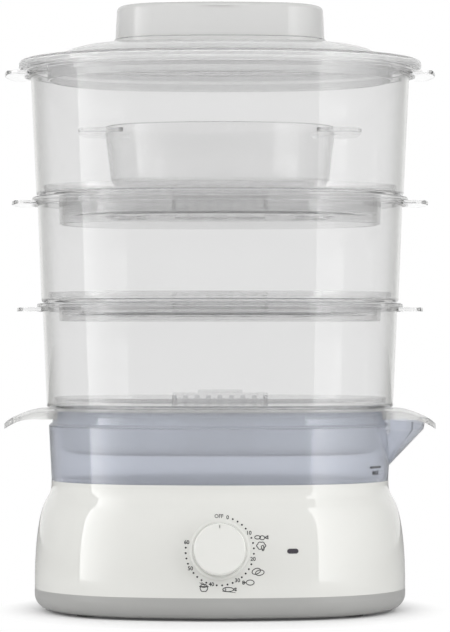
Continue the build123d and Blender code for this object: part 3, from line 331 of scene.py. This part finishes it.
def rounded(corners, steps=5, closed=True):
    """An anticlockwise outline of (across, up, radius) corners, each turned into an arc, with its normals.

    The arc at a corner starts radius x tan(turn / 2) before it, and its point at heading h is the arc's
    centre + radius x (sin h, -cos h), which is also the outward normal; on a hollow corner it is minus.
    """
    table = np.array(corners, float)
    place = table[:, :2]
    ahead = np.roll(place, -1, axis=0) - place
    length = np.linalg.norm(ahead, axis=1)
    run = ahead / length[:, None]
    before, shortest = np.roll(run, 1, axis=0), np.minimum(length, np.roll(length, 1))
    turn = np.arctan2(
        before[:, 0] * run[:, 1] - before[:, 1] * run[:, 0], np.sum(before * run, axis=1)
    )
    spread = np.abs(np.tan(turn / 2)) + 1e-9
    reach = np.minimum(table[:, 2] * spread, 0.48 * shortest)
    radius = np.sign(turn) * reach / spread
    heading = np.arctan2(before[:, 1], before[:, 0])[:, None] + turn[:, None] * np.linspace(0, 1, steps)
    normal = np.stack([np.sin(heading), -np.cos(heading)], axis=2)
    centre = place - before * reach[:, None] - radius[:, None] * normal[:, 0]
    points = centre[:, None] + radius[:, None, None] * normal
    if closed:
        return points.reshape(-1, 2), normal.reshape(-1, 2)
    points = np.concatenate([place[:1], points[1:-1].reshape(-1, 2), place[-1:]])
    return points, np.concatenate([normal[:1, -1], normal[1:-1].reshape(-1, 2), normal[-1:, 0]])


def carried(path, section):
    """A section carried along a closed level path: point = path + way out x across, at height up."""
    (core, out), (profile, lean) = path, section
    place = np.empty((len(core), len(profile), 3))
    normal = np.empty_like(place)
    place[..., :2] = core[:, None] + out[:, None] * profile[None, :, :1]
    place[..., 2] = profile[:, 1]
    normal[..., :2] = out[:, None] * lean[None, :, :1]
    normal[..., 2] = lean[:, 1]
    return place, normal


def mirrored(shell):
    """The same closed surface on the other side, x turned to -x, with its order round the path reversed."""
    place, normal = shell
    return place[::-1] * (-1, 1, 1), normal[::-1] * (-1, 1, 1)


def quads(rows, columns, start, closed):
    """Corner numbers of a grid's four-sided faces; its rows close up, and its columns do if told."""
    row = np.arange(rows)[:, None]
    column = np.arange(columns if closed else columns - 1)[None, :]
    next_row, next_column = (row + 1) % rows, (column + 1) % columns
    corners = (
        row * columns + column,
        next_row * columns + column,
        next_row * columns + next_column,
        row * columns + next_column,
    )
    return start + np.stack(corners, axis=-1).reshape(-1, 4)


def piece(name, shells, body, material, replaces=None):
    """One object of several closed surfaces: an open section's two ends are shut by flat faces."""
    places, normals, faces, start = [], [], [], 0
    for (place, normal), closed in shells:
        rows, columns = place.shape[:2]
        places.append(place.reshape(-1, 3))
        normals.append(normal.reshape(-1, 3))
        faces += quads(rows, columns, start, closed).tolist()
        if not closed:
            ring = start + np.arange(rows) * columns
            faces.append(ring[::-1].tolist())
            faces.append((ring + columns - 1).tolist())
        start += rows * columns
    mesh = bpy.data.meshes.new(name)
    mesh.from_pydata(np.concatenate(places) * MM, [], faces)
    mesh.update()
    mesh.shade_smooth()
    mesh.normals_split_custom_set_from_vertices(np.concatenate(normals))
    mesh.materials.append(FINISHES[material])
    made = placed(name, mesh)
    if replaces:
        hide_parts(replaces)
    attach(made, body)
    return made


def closed_path(points):
    """A closed curve's points with their normals, a quarter turn clockwise from the way past each point."""
    way = np.roll(points, -1, axis=0) - np.roll(points, 1, axis=0)
    way /= np.linalg.norm(way, axis=1)[:, None]
    return points, np.stack([way[:, 1], -way[:, 0]], axis=1)


def plate(path, low, high, edge=0.8, inset=1.2):
    """A flat plate inside a closed level path, with softened edges, from one height to another."""
    section = rounded([(-inset, low, 0), (0, low, edge), (0, high, edge), (-inset, high, 0)], 4, False)
    return carried(path, section), False


def lug_path(centre_x, radius, half_depth, reach, bulge, corner, steps=14):
    """Outline of a lug on an oval's end: out along its bowed tip, then back along the oval's own arc.

    A point of the way back at heading h is (centre + radius x cos h, radius x sin h), turned inwards.
    """
    root_x = centre_x + math.sqrt(radius**2 - half_depth**2)
    tip, _ = rounded(
        [
            (root_x, -half_depth, 0),
            (reach - bulge, -half_depth, corner),
            (reach + 0.3 * bulge, 0, 4 * half_depth),
            (reach - bulge, half_depth, corner),
            (root_x, half_depth, 0),
        ],
        9,
        False,
    )
    opening = math.asin(half_depth / radius)
    heading = np.linspace(opening, -opening, steps)[1:-1]
    back = (centre_x, 0) + radius * np.stack([np.cos(heading), np.sin(heading)], axis=1)
    return closed_path(np.concatenate([tip, back]))


# ---------------------------------------------------------------- bowls
def bowl(number, bottom, foot):
    """A wall that flares to a rim with a turned-down lip and two ears, on a shelf with a nesting ring."""
    low, high = span(f"steaming_bowl_{number}")
    nest = NESTS[number - 1]
    rim, top = half_width(high[1]), high[2]
    mouth = rim - RIM_OVERHANG
    section = rounded([
        (nest - NEST_DRAFT - BOWL_WALL, low[2], 0.5),
        (nest - NEST_DRAFT, low[2], 0.5),
        (nest, bottom, 0.8),
        (foot, bottom, 2.2),
        (mouth, top - RIM_SHEET, 0.8),
        (rim - RIM_LIP_WALL, top - RIM_SHEET, 0.5),
        (rim - RIM_LIP_WALL, top - RIM_LIP, 0.5),
        (rim, top - RIM_LIP, 0.6),
        (rim, top, 1.3),
        (mouth - BOWL_WALL, top, 0.9),
        (foot - BOWL_WALL, bottom + BOWL_WALL, 1.2),
        (nest - BOWL_WALL, bottom + BOWL_WALL, 0.8),
    ])
    ear, shut = plate(
        lug_path(
            BODY[0] - BODY[2],
            rim - LUG_SINK - BODY[0] + BODY[2],
            EAR_HALF_DEPTHS[number - 1],
            high[0],
            EAR_BULGE,
            EAR_CORNER,
        ),
        top - RIM_LIP,
        top - RIM_LIP + EAR_THICKNESS,
    )
    shells = [(carried(around(BODY), section), True), (ear, shut), (mirrored(ear), shut)]
    piece(f"bowl_{number}_wall", shells, f"bowl_{number}", "bowl_clear", f"steaming_bowl_{number}")
    return top + LIFT_GAP, mouth + FOOT_STEP


drip_high = span("drip_tray")[1]
level, foot = drip_high[2] + LIFT_GAP, half_width(drip_high[1])
for number in (1, 2, 3):
    level, foot = bowl(number, level, foot)

# ---------------------------------------------------------------- rice bowl
rice_low, rice_high = span("rice_bowl")
rice_floor, rice_top = rice_low[2] + RICE_RING, rice_high[2]
rice_foot = RICE[0] - RICE_FOOT_INSET
rice_section = rounded(
    [
        (RICE[0] - 2 * RICE_CORNER, rice_floor, 0),
        (rice_foot, rice_floor, RICE_CORNER),
        (RICE[0], rice_top, 0.9),
        (RICE[0] - RICE_WALL, rice_top, 0.9),
        (rice_foot - RICE_WALL, rice_floor + RICE_WALL, RICE_CORNER - RICE_WALL),
        (RICE[0] - 2 * RICE_CORNER, rice_floor + RICE_WALL, 0),
    ],
    7,
    False,
)
rice_lug, rice_lug_shut = plate(
    lug_path(
        RICE[0] - RICE[2], RICE[2] - LUG_SINK, LUG_HALF_DEPTH, rice_high[0], LUG_BULGE, LUG_CORNER
    ),
    rice_top - LUG_DROP - LUG_THICKNESS,
    rice_top - LUG_DROP,
)
ring_path = rounded([
    (-RING_HALF_LENGTH, -RING_HALF_WIDTH, RING_CORNER),
    (RING_HALF_LENGTH, -RING_HALF_WIDTH, RING_CORNER),
    (RING_HALF_LENGTH, RING_HALF_WIDTH, RING_CORNER),
    (-RING_HALF_LENGTH, RING_HALF_WIDTH, RING_CORNER),
], 9)
ring_section = rounded([
    (-RING_WALL, rice_low[2], 0.4),
    (0, rice_low[2], 0.4),
    (0, rice_floor + LIFT_GAP, 0.2),
    (-RING_WALL, rice_floor + LIFT_GAP, 0.2),
])
piece(
    "rice_bowl_body",
    [
        (carried(around(RICE), rice_section), False),
        (rice_lug, rice_lug_shut),
        (mirrored(rice_lug), rice_lug_shut),
        (carried(ring_path, ring_section), True),
    ],
    "rice_bowl",
    "rice_clear",
    "rice_bowl",
)

# ---------------------------------------------------------------- lid
lid_high = span("lid_shell")[1]
lid_edge, collar_top = half_width(lid_high[1]), lid_high[2]
dome_top = collar_top - COLLAR_RISE
brim_edge = dome_top - DOME_RISE
lid_bottom = brim_edge - LID_LIP
deck_top = dome_top - DECK_SINK
brim = lid_edge - BRIM_WIDTH
collar = brim - COLLAR_INSET
rib = lid_edge - SEAT_RIB_INSET
skirt = lid_edge - SKIRT_INSET
lip_inside = lid_edge - LID_WALL


def under_brim(across, radius):
    """A corner on the underside of the lid's sloping brim."""
    return across, brim_edge - LID_WALL + (lid_edge - across) * BRIM_RISE / BRIM_WIDTH, radius


lid_section = rounded(
    [
        (DECK_CORE, deck_top - LID_WALL, 0),
        (collar - COLLAR_BAND, deck_top - LID_WALL, 1.0),
        (collar - LID_WALL, dome_top - LID_WALL, 4.0),
        (brim - LID_WALL - DOME_CROWN[0], brim_edge - LID_WALL + DOME_CROWN[1], 40.0),
        (brim - LID_WALL - DOME_SHOULDER[0], brim_edge - LID_WALL + DOME_SHOULDER[1], 40.0),
        (brim - LID_WALL, brim_edge + BRIM_RISE - LID_WALL, 3.0),
        under_brim(skirt - LID_WALL, 0.8),
        (skirt - LID_WALL, lid_bottom - SKIRT_DEPTH, 0.6),
        (skirt, lid_bottom - SKIRT_DEPTH, 0.6),
        under_brim(skirt, 0.8),
        under_brim(rib - SEAT_RIB, 0.6),
        (rib - SEAT_RIB, lid_bottom, 0.5),
        (rib, lid_bottom, 0.5),
        under_brim(rib, 0.6),
        under_brim(lip_inside, 1.0),
        (lip_inside, lid_bottom, 0.6),
        (lid_edge, lid_bottom, 0.8),
        (lid_edge, brim_edge, 2.6),
        (brim, brim_edge + BRIM_RISE, 3.0),
        (brim - DOME_SHOULDER[0], brim_edge + DOME_SHOULDER[1], 40.0),
        (brim - DOME_CROWN[0], brim_edge + DOME_CROWN[1], 40.0),
        (collar, dome_top, 1.0),
        (collar, collar_top, 0.9),
        (collar - COLLAR_BAND, collar_top, 0.9),
        (collar - COLLAR_BAND, deck_top, 0.6),
        (DECK_CORE, deck_top, 0),
    ],
    6,
    False,
)
piece("lid_dome", [(carried(around(BODY), lid_section), False)], "lid", "lid_clear", "lid_shell")

# An opaque pale band on the collar's outer face is painted light: it stands for the light seen in the clear
# collar under the handle
painted_light_band_section = rounded([
    (collar - PAINTED_LIGHT_BAND, dome_top - PAINTED_LIGHT_BAND, 0),
    (collar + PAINTED_LIGHT_BAND, dome_top - PAINTED_LIGHT_BAND, 0.05),
    (collar + PAINTED_LIGHT_BAND, collar_top - PAINTED_LIGHT_BAND_STOP, 0.05),
    (collar - PAINTED_LIGHT_BAND, collar_top - PAINTED_LIGHT_BAND_STOP, 0),
])
piece("lid_collar_painted_light_band", [(carried(around(BODY), painted_light_band_section), True)], "lid", "handle_grey")

# ---------------------------------------------------------------- prints on housing and tank, and painted shade in the knob's groove
INK_SUNK, INK_PROUD = -0.15, 0.07
INK_LINE = 0.55
INK_WEIGHT = 0.08               # by which each stroke of a letter is thickened to either side
# Radius of the flat flanks of the body's oval, as in around()
FRONT_FAR = ((BODY[0] - BODY[2]) ** 2 + BODY[1] ** 2 - BODY[2] ** 2) / (2 * (BODY[1] - BODY[2]))
# Heights on the housing's outer wall, and its half widths there
WALL_LEVELS = np.array([16.6, DIAL_HEIGHT, 66.0, 79.0, 90.5])
WALL_WIDTHS = np.array([133.1, 131.8, 129.5, 125.4, 121.1])


def wall_slopes(levels, widths):
    """Slopes of a cubic curve at its knots: 0 at both ends, and the same bend on both sides of the others."""
    step = np.diff(levels)
    rise = np.diff(widths) / step
    inner = np.arange(1, len(levels) - 1)
    system = np.eye(len(levels))
    system[inner, inner - 1] = step[1:]
    system[inner, inner] = 2 * (step[1:] + step[:-1])
    system[inner, inner + 1] = step[:-1]
    right = np.zeros(len(levels))
    right[inner] = 3 * (step[1:] * rise[:-1] + step[:-1] * rise[1:])
    return np.linalg.solve(system, right)


SLOPES = wall_slopes(WALL_LEVELS, WALL_WIDTHS)


def wall_width(height):
    """Half width of the housing's wall at a height: on each stretch, the cubic that its ends' slopes give."""
    at = np.clip(np.searchsorted(WALL_LEVELS, height) - 1, 0, len(WALL_LEVELS) - 2)
    step = WALL_LEVELS[at + 1] - WALL_LEVELS[at]
    t = (height - WALL_LEVELS[at]) / step
    return (
        (2 * t**3 - 3 * t**2 + 1) * WALL_WIDTHS[at]
        + (t**3 - 2 * t**2 + t) * step * SLOPES[at]
        + (3 * t**2 - 2 * t**3) * WALL_WIDTHS[at + 1]
        + (t**3 - t**2) * step * SLOPES[at + 1]
    )


def on_front(print_place):
    """Bends a flat print (x, up from its centre, proud) on to the front flank, whose centre is behind it."""
    x, height, proud = print_place[..., 0], SCALE_HEIGHT + print_place[..., 1], print_place[..., 2]
    radius = FRONT_FAR - BODY[0] + wall_width(height) + proud
    return np.stack([x, FRONT_FAR - BODY[1] - np.sqrt(radius**2 - x**2), height], axis=-1)


# Height and half width of the tank's wall at two levels, and the fill mark's place on its right end
TANK_FOOT, TANK_BELLY = (93.5, 120.9), (133.1, 122.9)
MARK_HEADING, MARK_HEIGHT = math.radians(-30.5), 104.2


def on_tank_end(print_place):
    """Bends a flat print (along, up, proud) on to the tank's right end, where along is an arc's length."""
    along, height, proud = print_place[..., 0], MARK_HEIGHT + print_place[..., 1], print_place[..., 2]
    width = np.interp(height, [TANK_FOOT[0], TANK_BELLY[0]], [TANK_FOOT[1], TANK_BELLY[1]])
    radius = width - BODY[0] + BODY[2] + proud
    heading = MARK_HEADING + along / radius
    across = BODY[0] - BODY[2] + radius * np.cos(heading)
    return np.stack([across, radius * np.sin(heading), height], axis=-1)


knob_low, knob_high = span("timer_knob")


def on_knob(print_place):
    """Stands a flat dark mark (x, up from the knob's axis, proud) on the floor of the knob's pointer groove:
    painted shade.
    """
    x, height, proud = print_place[..., 0], DIAL_HEIGHT + print_place[..., 1], print_place[..., 2]
    return np.stack([x, knob_low[1] + POINTER_DEPTH - proud, height], axis=-1)


def ellipse(x, y, half_long, half_short, tilt=0.0, steps=28):
    """A closed curve: the ellipse's point at angle t, turned by its tilt."""
    t = np.linspace(0, 2 * np.pi, steps, endpoint=False)
    turned = math.radians(tilt)
    along, across = half_long * np.cos(t), half_short * np.sin(t)
    bent = np.stack([
        along * math.cos(turned) - across * math.sin(turned),
        along * math.sin(turned) + across * math.cos(turned),
    ], axis=1)
    return closed_path((x, y) + bent)


def cloud(x, y, radius, ripple, lobes, squash, steps=60):
    """A closed curve with round lobes: its radius swings lobes times as it goes round."""
    t = np.linspace(0, 2 * np.pi, steps, endpoint=False)
    reach = radius * (1 + ripple * np.abs(np.cos(lobes * t / 2)))
    return closed_path((x, y) + np.stack([reach * np.cos(t), squash * reach * np.sin(t)], axis=1))


def line(path, wide=INK_LINE):
    """A printed line of even width along a closed path."""
    corners = [(-wide / 2, INK_SUNK), (wide / 2, INK_SUNK), (wide / 2, INK_PROUD), (-wide / 2, INK_PROUD)]
    return carried(path, rounded([(*corner, 0.02) for corner in corners], 2)), True


def patch(path):
    """A printed area inside a closed path."""
    return plate(path, INK_SUNK, INK_PROUD, 0.03, 0.1)


def moved(shell, x, y):
    """The same print, moved over the flat."""
    (place, normal), closed = shell
    return (place + (x, y, 0), normal), closed


def bar(x0, y0, x1, y1, wide=INK_LINE):
    """A printed straight line with round ends."""
    along = np.array([x1 - x0, y1 - y0])
    side = np.array([-along[1], along[0]]) / np.linalg.norm(along) * wide / 2
    start, end = np.array([x0, y0]), np.array([x1, y1])
    corners = [start + side, start - side, end - side, end + side]
    return patch(rounded([(*corner, wide / 2.2) for corner in corners], 4))


def polygon(*corners, radius=0.25):
    """A printed line round a rounded polygon."""
    return line(rounded([(*corner, radius) for corner in corners], 4))


def printed(name, shells, bend, body):
    """One object of prints: each flat shell is bent on to the wall that it lies on."""
    bent = [((bend(place), normal), closed) for (place, normal), closed in shells]
    made = piece(name, bent, body, "inner_plastic")
    made.data.materials[0] = INK
    made.data.shade_flat()
    return made


def letters(text, size, x, y):
    """The corners and faces of a word's mesh, flat, with its middle at a place."""
    curve = bpy.data.curves.new("word", "FONT")
    curve.body, curve.size, curve.align_x, curve.align_y = text, size, "CENTER", "CENTER"
    curve.extrude = (INK_PROUD - INK_SUNK) / 2
    curve.offset = INK_WEIGHT
    curve.resolution_u = 4
    holder = bpy.data.objects.new("word", curve)
    mesh = bpy.data.meshes.new_from_object(holder)
    place = np.empty(3 * len(mesh.vertices))
    mesh.vertices.foreach_get("co", place)
    faces = [list(face.vertices) for face in mesh.polygons]
    for block, owner in ((mesh, bpy.data.meshes), (curve, bpy.data.curves)):
        owner.remove(block)
    return place.reshape(-1, 3) + (x, y, (INK_PROUD + INK_SUNK) / 2), faces


def words(name, labels, bend, body):
    """One object of words, each (text, size, x, y), bent on to a wall."""
    places, faces, start = [], [], 0
    for label in labels:
        place, word_faces = letters(*label)
        places.append(bend(place))
        faces += [[start + corner for corner in face] for face in word_faces]
        start += len(place)
    mesh = bpy.data.meshes.new(name)
    mesh.from_pydata(np.concatenate(places) * MM, [], faces)
    mesh.materials.append(INK)
    made = placed(name, mesh)
    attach(made, body)
    return made


SCALE_RADIUS = 23.5
SCALE_START, SCALE_STEP = math.radians(13.3), math.radians(4.52)    # angle of 0, and of one minute
DOT_RADIUS = 0.66
NUMBER_SIZE, OFF_SIZE, MAX_SIZE = 3.7, 3.5, 4.2


def on_scale(minute):
    """Place of a minute on the scale: radius x (sin, cos) of its angle, clockwise from the top."""
    angle = SCALE_START + minute * SCALE_STEP
    return SCALE_RADIUS * math.sin(angle), SCALE_RADIUS * math.cos(angle)


dots = [
    patch(ellipse(*on_scale(minute), DOT_RADIUS, DOT_RADIUS, steps=14))
    for minute in range(0, 61, 2)
    if minute % 10
]
printed("dial_minute_dots", dots, on_front, "base")
dial_words = [(str(minute), NUMBER_SIZE, *on_scale(minute)) for minute in range(0, 61, 10)]
words("dial_numbers", [*dial_words, ("OFF", OFF_SIZE, -0.6, SCALE_RADIUS + 0.2)], on_front, "base")

# Outlines of food, each keyed by its place to the right of and above the scale's centre
PICTOGRAMS = {
    (29.0, 9.2): [
        line(ellipse(-3.0, 0.1, 2.0, 1.15)),
        line(ellipse(0.2, -0.2, 1.7, 1.35)),
        polygon((2.0, 0.0), (4.5, 1.4), (3.9, 0.1), (4.6, -1.3)),
    ],
    (28.5, 3.1): [
        line(cloud(0.0, 0.5, 2.6, 0.22, 6, 0.85)),
        polygon((0.0, 0.2), (1.5, 0.9), (2.0, -2.4), (0.9, -3.2), radius=0.5),
    ],
    (26.3, -14.4): [
        line(ellipse(-1.2, 0.5, 3.0, 1.9, 20.0)),
        line(ellipse(1.2, -0.5, 3.0, 1.8, 12.0)),
    ],
    (19.5, -21.6): [
        line(ellipse(1.4, 0.0, 2.7, 1.75)),
        bar(-1.2, 0.0, -2.6, 0.0, 0.7),
        line(ellipse(-3.2, 0.5, 0.65, 0.6)),
        line(ellipse(-3.2, -0.5, 0.65, 0.6)),
    ],
    (6.6, -26.6): [
        line(ellipse(-0.8, 0.3, 3.7, 1.45)),
        polygon((2.7, 0.4), (5.0, 1.7), (4.3, 0.3), (5.1, -0.9)),
        bar(-2.5, 1.1, -2.5, -0.6),
        bar(-4.9, -0.9, 4.3, -1.9, 0.3),
    ],
    (-10.9, -25.0): [
        polygon((-3.3, 0.6), (-1.7, -2.6), (1.7, -2.6), (3.3, 0.6), radius=1.2),
        bar(-3.3, 0.7, 3.3, 0.7),
        line(ellipse(0.0, 1.2, 2.2, 1.0)),
        bar(-3.0, 3.4, 0.8, 1.4, 0.35),
        bar(-1.6, 3.6, 1.4, 1.5, 0.35),
    ],
}
signs = [moved(shell, *place) for place, shells in PICTOGRAMS.items() for shell in shells]
printed("dial_food_signs", signs, on_front, "base")

pointer_end = knob_high[2] - DIAL_HEIGHT
# A dark ink bar on the floor of the knob's groove is painted shade, standing for the groove's shadow
printed("knob_groove_painted_shade", [bar(0.0, pointer_end - 3.0, 0.0, pointer_end - 1.2, 0.4)], on_knob, "knob")
printed("tank_max_line", [bar(-7.8, 0.0, 7.8, 0.0, 1.6)], on_tank_end, "base")
words("tank_max_word", [("MAX", MAX_SIZE, 0.0, -4.1)], on_tank_end, "base")


# ---------------------------------------------------------------- floor, light and camera
FLOOR_REACH = 4.0
FADE_FROM, FADE_TO = 0.115, 0.165     # metres from the middle, over which the floor turns into backdrop
FLOOR_LIFT = 0.05                     # the floor's own glow, where it is seen
ROOM_DIFFUSE = 0.24                   # the room's light on matt faces
ROOM_MIRRORED = (0.45, 1.0)           # the room in a mirror image, and its bright part behind and above


def straight_seen(tree, rays):
    """1 for a ray from the camera or through a clear piece, and 0 for any other."""
    straight = {0: rays["Is Camera Ray"], 1: rays["Is Transmission Ray"]}
    return add(tree, "ShaderNodeMath", straight, operation="MAXIMUM").outputs[0]


bpy.ops.mesh.primitive_plane_add(size=2 * FLOOR_REACH, location=(0, 0, 0))
floor = bpy.context.object
floor.name = "floor"
floor_paint, tree = blank("matt_white_floor")
rays = add(tree, "ShaderNodeLightPath").outputs
spot = add(tree, "ShaderNodeTexCoord").outputs["Object"]
distance = add(tree, "ShaderNodeVectorMath", {0: spot}, operation="LENGTH").outputs["Value"]
away = add(
    tree,
    "ShaderNodeMapRange",
    {"Value": distance, "From Min": FADE_FROM, "From Max": FADE_TO},
    interpolation_type="SMOOTHSTEP",
).outputs[0]
seen = straight_seen(tree, rays)
matt = add(tree, "ShaderNodeBsdfDiffuse", {"Color": linear("#F6F6F6")}).outputs["BSDF"]
lift = add(tree, "ShaderNodeEmission", {"Color": WHITE, "Strength": FLOOR_LIFT}).outputs["Emission"]
lifted = add(tree, "ShaderNodeAddShader", {0: matt, 1: lift}).outputs["Shader"]
white = add(tree, "ShaderNodeEmission", {"Color": WHITE, "Strength": 1.0}).outputs["Emission"]
faded = add(tree, "ShaderNodeMixShader", {0: away, 1: lifted, 2: white}).outputs["Shader"]
shown = add(tree, "ShaderNodeMixShader", {0: seen, 1: matt, 2: faded}).outputs["Shader"]
add(tree, "ShaderNodeOutputMaterial", {"Surface": shown})
floor.data.materials.append(floor_paint)

world = bpy.data.worlds.new("studio")
bpy.context.scene.world = world
world.use_nodes = True
tree = world.node_tree
tree.nodes.clear()
rays = add(tree, "ShaderNodeLightPath").outputs
way = add(tree, "ShaderNodeTexCoord").outputs["Generated"]
behind_above = add(tree, "ShaderNodeVectorMath", {0: way, 1: (0, 0.94, 0.34)}, operation="DOT_PRODUCT")
mirrored_room = add(
    tree,
    "ShaderNodeMapRange",
    {
        "Value": behind_above.outputs["Value"],
        "From Min": 0.55,
        "From Max": 0.9,
        "To Min": ROOM_MIRRORED[0],
        "To Max": ROOM_MIRRORED[1],
    },
    interpolation_type="SMOOTHSTEP",
).outputs[0]
seen = straight_seen(tree, rays)
glossy = add(tree, "ShaderNodeMix", {0: rays["Is Glossy Ray"], 2: ROOM_DIFFUSE, 3: mirrored_room}).outputs[0]
strength = add(tree, "ShaderNodeMix", {0: seen, 2: glossy, 3: 1.0}).outputs[0]
sky = add(tree, "ShaderNodeBackground", {"Color": WHITE, "Strength": strength}).outputs[0]
add(tree, "ShaderNodeOutputWorld", {"Surface": sky})


def softbox(name, sharp, faded, bottom, top, bright, dim):
    """An upright lamp between two points of the floor plan, bright at its sharp edge and dim at the other.

    Its light at t of the way across is dim + (bright - dim) x (1 - t) squared.
    """
    sharp, faded = Vector((*sharp, (bottom + top) / 2)), Vector((*faded, (bottom + top) / 2))
    width, height = (faded - sharp).length, top - bottom
    lamp = bpy.data.lights.new(name, "AREA")
    lamp.shape = "RECTANGLE"
    lamp.size, lamp.size_y = width, height
    lamp.energy = math.pi * width * height
    lamp.use_nodes = True
    tree = lamp.node_tree
    tree.nodes.clear()
    place = add(tree, "ShaderNodeNewGeometry").outputs["Parametric"]
    across = add(tree, "ShaderNodeSeparateXYZ", {"Vector": place}).outputs["X"]
    left_over = add(tree, "ShaderNodeMath", {0: 1.0, 1: across}, operation="SUBTRACT").outputs[0]
    square = add(tree, "ShaderNodeMath", {0: left_over, 1: left_over}, operation="MULTIPLY").outputs[0]
    level = between(tree, square, dim, bright)
    glow = add(tree, "ShaderNodeEmission", {"Strength": level}).outputs["Emission"]
    add(tree, "ShaderNodeOutputLight", {"Surface": glow})
    holder = placed(name, lamp)
    holder.location = (sharp + faded) / 2
    outwards = (faded - sharp).cross(Vector((0, 0, 1)))
    holder.rotation_euler = outwards.to_track_quat("Z", "Y").to_euler()
    holder.visible_camera = False


softbox("left_softbox", (-0.62, -0.17), (-0.353, -0.60), 0.0, 0.62, 4.8, 0.1)
softbox("right_softbox", (0.43, -0.55), (0.6, 0.16), 0.0, 0.62, 3.7, 0.05)

roof = bpy.data.lights.new("roof_softbox", "AREA")
roof.shape, roof.size, roof.size_y, roof.energy = "RECTANGLE", 2.2, 1.6, 14.5
roof_holder = placed("roof_softbox", roof)
roof_holder.location = (0, -1.1, 1.35)
roof_holder.rotation_euler = (math.radians(40), 0, 0)
roof_holder.visible_glossy = False

FRAME_HEIGHT = 632              # pixels of the finished picture
FRAME_SHIFT = 24                # pixels from the lens's axis up to the middle of the picture
camera = bpy.data.cameras.new("camera")
camera.sensor_width = 36.0
camera.lens = 170.6
camera.shift_y = FRAME_SHIFT / FRAME_HEIGHT
viewer = placed("camera", camera)
viewer.location = (0.0036, -2.155, 0.194)
viewer.rotation_euler = (math.radians(90), 0, 0)

scene = bpy.context.scene
scene.camera = viewer
scene.view_settings.view_transform = "Standard"
scene.cycles.max_bounces = 32
scene.cycles.glossy_bounces = 32
scene.cycles.transmission_bounces = 32
scene.cycles.transparent_max_bounces = 32
scene.cycles.caustics_reflective = False
scene.cycles.caustics_refractive = False
scene.cycles.sample_clamp_indirect = 3.0
scene.cycles.use_denoising = True
